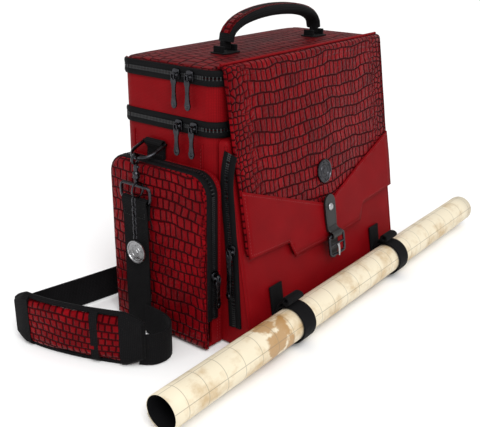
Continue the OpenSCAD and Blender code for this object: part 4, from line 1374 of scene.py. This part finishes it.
pad = {"thick": 8.2, "height": 52, "band": 17}


def shoulderPad():
    route = smoothPath([Vector((x, y, 28.2)) for x, y in padRoute], 4)
    frames = bandFrames(route, (0, 0, 1))
    bm = bmesh.new()
    ends = lambda i: min(1.0, 0.72 + 0.28 * min(i, len(frames) - 1 - i) / 4)
    sweep(bm, stripProfile(pad["height"], pad["thick"], 3.4, 0), frames, sizes=[ends(i)
            for i in range(len(frames))])
    body = makePiece("shoulderPad", bm, None, crocSmall, swept=(0, 0))
    puffUp(body, 3.4, 3.2, 3.0)
    # the route's own measure is laid on the swollen mesh again
    mesh = body.data
    layer = mesh.uv_layers.get("UVMap") or mesh.uv_layers.new(name="UVMap")
    lengths = [0.0]
    for a, b in zip(route, route[1:]):
        lengths.append(lengths[-1] + (b - a).length)
    for loop in mesh.loops:
        co = mesh.vertices[loop.vertex_index].co / mm
        i = min(range(len(route)), key=lambda k: (route[k].x - co.x) ** 2 + (route[k].y - co.y) ** 2)
        layer.data[loop.index].uv = (lengths[i] + (co - route[i]).dot((route[min(i + 1,
                len(route) - 1)] - route[max(i - 1, 0)]).normalized()), co.z)
    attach(body, "case")
    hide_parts("shoulder_pad")
    # binding round the pad's edge
    binding = bmesh.new()
    up = [f.translation + Vector((0, 0, pad["height"] / 2 * ends(i) + 0.4)) for i, f in enumerate(frames)]
    down = [f.translation - Vector((0, 0, pad["height"] / 2 * ends(i) + 0.0)) for i, f in enumerate(frames)]
    ring = up + list(reversed(down))
    sweep(binding, roundProfile(2.7, 10), ringFrames(ring, tuple(frames[len(frames) // 2].to_3x3()
            @ Vector((0, 1, 0))), closed=True), closed=True)
    makePiece("padBinding", binding, "case", webbing, swept=(0, 0))
    # broad bands at the ends and a narrow one across the front part
    for name, a, b, grow in (("padBandRear", 0.84, 1.0, 2.2), ("padBandFront", 0.0, 0.13, 2.2),
            ("padCrossBand", 0.28, 0.34, 2.9)):
        i0, i1 = round(a * (len(frames) - 1)), round(b * (len(frames) - 1))
        cross = bmesh.new()
        part = frames[i0:i1 + 1]
        if len(part) < 2:
            part = frames[i0:i0 + 2]
        wide = pad["height"] + (4.6 if "Cross" not in name else 3.0)
        sweep(cross, stripProfile(wide, pad["thick"] + 2 * grow, 4.2, 0), part, sizes=[ends(k)
                for k in range(i0, i0 + len(part))])
        makePiece(name, cross, "case", webbing, swept=(0, 0))


shoulderPad()
print("straps made")


# ---- the charm ----

def charmPieces():
    low, high = boxMm("charm_chain")
    discLow, discHigh = boxMm("charm_disc")
    y = 9.0
    x = (discLow.x + discHigh.x) / 2
    bm = bmesh.new()
    ring = arcPoints((high.x - 8.4, y, high.z - 8.4), 7.5, 0, 360, ((1, 0, 0), (0, 0, 1)), 28)[:-1]
    wireLoop(bm, ring, 0.9)
    top = high.z - 8.4 - 8.6
    links = 9
    for i in range(links):
        z = top - 4.9 * i
        way = (0, 1, 0) if i % 2 else (1, 0, 0)
        points = [Vector((x, y, z)) + Vector(way) * (2.1 * math.cos(2 * math.pi * k / 14)) + Vector((0, 0,
                3.3 * math.sin(2 * math.pi * k / 14))) for k in range(14)]
        wireLoop(bm, points, 0.65, (1, 0, 0) if i % 2 else (0, 1, 0))
    makePiece("charmChain", bm, "charm", gunmetal, ["charm_chain"])
    bm = bmesh.new()
    lathe(bm, [(0, -0.5), (10.2, -0.5), (10.6, -1.1), (11.8, -1.1), (12, -0.6), (12, 0.6), (11.8, 1.1),
            (10.6, 1.1), (10.2, 0.5), (6.2, 0.5),
               (6.0, 0.8), (5.2, 0.8), (5.0, 0.5), (0, 0.5)], 48)
    for i in range(12):  # a plain ring of small studs
        a = math.radians(30 * i)
        bmesh.ops.create_uvsphere(bm, u_segments=8, v_segments=5, radius=0.75,
                                  matrix=Matrix.Translation((8.2 * math.cos(a), 8.2 * math.sin(a), 0.5))
                                          @ Matrix.Diagonal((1, 1, 0.6, 1)))
    bmesh.ops.create_cone(bm, cap_ends=True, segments=6, radius1=3.4, radius2=2.8, depth=0.8,
            matrix=Matrix.Translation((0, 0, 0.8)))
    bmesh.ops.transform(bm, matrix=Matrix.Translation((x, y, (discLow.z + discHigh.z) / 2))
            @ Matrix.Rotation(-math.pi / 2, 4, "Y"), verts=bm.verts)
    makePiece("charmDisc", bm, "charm", nickel, ["charm_disc"])


charmPieces()


# ---- the zip sliders and their pulls ----

def zipSlider(name, pullName, node, pullNode, body, pullBody, place, turn, length):
    # local frame: X out of the cloth, Y across, Z up
    seat = Matrix.Translation(place) @ turn
    bm = bmesh.new()
    bmesh.ops.create_cube(bm, size=1, matrix=Matrix.Translation((1.3, 0, 0)) @ Matrix.Diagonal((2.6, 8.6,
            10.6, 1)))
    bevelEdges(bm, [e for e in bm.edges if abs(e.verts[0].co.x - e.verts[1].co.x) > 1], 2.6, 4)
    for y in (-3.4, 3.4):
        bmesh.ops.create_cube(bm, size=1, matrix=Matrix.Translation((3.6, y, 0)) @ Matrix.Diagonal((2.4,
                1.6, 3.0, 1)))
    bridge = [Vector((3.0, -4.0, 0))] + [Vector((5.2, y, 0)) for y in (-3, -1, 1, 3)] + [Vector((3.0, 4.0,
            0))]
    sweep(bm, roundProfile(0.9, 8), ringFrames(smoothPath(bridge, 1.5), (0, 0, 1)))
    bmesh.ops.transform(bm, matrix=seat, verts=bm.verts)
    makePiece(name, bm, body, gunmetal, [node], bevel=0.35)
    bm = bmesh.new()
    # a link through the bridge, then a long plate that waists and ends round
    eye = [Vector((5.2, 1.9 * math.cos(2 * math.pi * k / 14), -1.4 + 3.0 * math.sin(2 * math.pi * k / 14)))
            for k in range(14)]
    wireLoop(bm, eye, 0.55, (1, 0, 0))
    half = [(1.9, -3.0), (3.2, -4.4), (3.4, -6.6), (2.4, -9.6), (2.0, -length * 0.5), (2.7, -length + 8),
            (3.5, -length + 4.5), (2.6, -length + 1.2), (0.9, -length)]
    outline = half + [(-a, b) for a, b in reversed(half)]
    face = bm.faces.new([bm.verts.new((4.7, a, b)) for a, b in outline])
    bmesh.ops.inset_region(bm, faces=[face], thickness=0.7)
    made = bmesh.ops.extrude_face_region(bm, geom=[f for f in bm.faces
            if len(f.verts) > 4 or abs(f.normal.x) > 0.5])["geom"]
    bmesh.ops.translate(bm, vec=(1.6, 0, 0), verts=[g for g in made if isinstance(g, bmesh.types.BMVert)])
    bmesh.ops.create_uvsphere(bm, u_segments=12, v_segments=8, radius=1.9, matrix=Matrix.Translation((6.2,
            0, -length + 4.2)) @ Matrix.Diagonal((0.35, 1, 1, 1)))
    bmesh.ops.transform(bm, matrix=seat, verts=bm.verts)
    makePiece(pullName, bm, pullBody, gunmetal, [pullNode], bevel=0.4)


leftTurn = Matrix.Rotation(math.pi, 4, "Z")
for which, body in (("top_slider_rear", "top"), ("top_slider_front", "top"), ("mid_slider_rear", "mid"),
        ("mid_slider_front", "mid"), ("front_slider", "front")):
    low, high = boxMm(which)
    pullNode = which.replace("slider", "pull")
    pullLow, pullHigh = boxMm(pullNode)
    seatX = high.x
    title = which.title().replace("_", "")
    zipSlider(title[0].lower() + title[1:], title[0].lower() + title[1:].replace("Slider", "Pull"), which,
            pullNode, which, pullNode,
              Vector((seatX + 0.4, (low.y + high.y) / 2, (low.z + high.z) / 2)), leftTurn, (low.z
                      + high.z) / 2 - pullLow.z)
low, high = boxMm("pocket_slider")
pullLow, pullHigh = boxMm("pocket_pull")
zipSlider("pocketSlider", "pocketPull", "pocket_slider", "pocket_pull", "pocket_slider", "pocket_pull",
          Vector(((low.x + high.x) / 2, high.y + 0.4, (low.z + high.z) / 2)), Matrix.Rotation(-math.pi / 2,
                  4, "Z"), (low.z + high.z) / 2 - pullLow.z)
print("sliders made")


# ---- the map and its loops ----

mapLow, mapHigh = boxMm("map_sheet")
mapParts = {"y": (mapLow.y + mapHigh.y) / 2, "z": (mapLow.z + mapHigh.z) / 2, "radius": 17.9, "turns": 1.35,
        "thick": 0.55}


def rolledMap():
    m = mapParts
    for name, material, node, inset in (("mapPrintedSheet", mapPrint, "map_sheet", 0.0), ("mapDarkBack",
            lining, "map_backing", m["thick"])):
        bm = bmesh.new()
        along = bm.verts.layers.float.new("along")
        around = bm.verts.layers.float.new("around")
        steps = 96
        verts = []
        for i in range(steps + 1):
            angle = 2 * math.pi * m["turns"] * i / steps + math.radians(-150)
            r = m["radius"] - 1.5 + 1.5 * i / steps - inset
            v = bm.verts.new((mapLow.x, m["y"] + r * math.cos(angle), m["z"] + r * math.sin(angle)))
            v[around] = angle * m["radius"]
            verts.append(v)
        edges = [bm.edges.new(pair) for pair in zip(verts, verts[1:])]
        made = bmesh.ops.extrude_edge_only(bm, edges=edges)["geom"]
        far = [g for g in made if isinstance(g, bmesh.types.BMVert)]
        bmesh.ops.translate(bm, vec=(mapHigh.x - mapLow.x, 0, 0), verts=far)
        slicesAlong(bm, 0, mapLow.x, mapHigh.x, 24)
        for v in bm.verts:
            v[along] = v.co.x
        for f in bm.faces:
            f.normal_update()
        f = bm.faces[:][0]
        outward = f.calc_center_median() - Vector((f.calc_center_median().x, m["y"], m["z"]))
        if f.normal.dot(outward) < 0:
            bmesh.ops.reverse_faces(bm, faces=bm.faces)
        makePiece(name, bm, "map", material, [node], swept=(0, 0), turn=False, wall=m["thick"])


rolledMap()


def mapLoops():
    m = mapParts
    for name, x, node in (("leftMapLoop", -102, "left_map_loop"), ("rightMapLoop", 102, "right_map_loop")):
        bm = bmesh.new()
        # the elastic: up the organiser's face, over the roll, under it and back
        path = arcPoints((x, m["y"], m["z"]), m["radius"] + 1.5, -20, 340, ((0, 1, 0), (0, 0, 1)), 40)
        sweep(bm, stripProfile(21, 1.7, 0.7, 0), bandFrames(path, (1, 0, 0)))
        face = [Vector((x, -halfD - 44 * (273 - z) / 273 - 2.0, z)) for z in (16, 24, 34, 46, 58)]
        sweep(bm, stripProfile(21, 1.7, 0.7, 0), bandFrames(face, (1, 0, 0)))
        over = [Vector((x, m["y"] + 17.5, m["z"] + 6)), Vector((x, m["y"] + 15.2, m["z"] + 14)), Vector((x,
                m["y"] + 12.5, m["z"] + 20)),
                Vector((x, m["y"] + 7.5, m["z"] + 22.5)), Vector((x, m["y"] + 2, m["z"] + 21.5))]
        sweep(bm, stripProfile(20, 1.8, 0.7, 0), bandFrames(smoothPath(over, 3), (1, 0, 0)))
        # the rolled end on top, pinched at both ends
        spiral = [Vector((x, m["y"] + 3.5 + r * math.cos(a), m["z"] + 25.6 + r * 0.82 * math.sin(a)))
                  for r, a in [(5.6 - 3.6 * i / 40, 2 * math.pi * 2.1 * i / 40 - 1.2) for i in range(41)]]
        sweep(bm, stripProfile(25, 1.3, 0.6, 0), bandFrames(spiral, (1, 0, 0)),
                sizes=[1.0 - 0.12 * math.sin(i * 0.3) for i in range(41)])
        makePiece(name, bm, "case", webbing, [node], swept=(0, 0))


mapLoops()
for node, material in (("magnet_socket", nickel), ("magnet_stud", nickel)):
    nodes[node].data.materials.clear()
    nodes[node].data.materials.append(material)
print("map made")
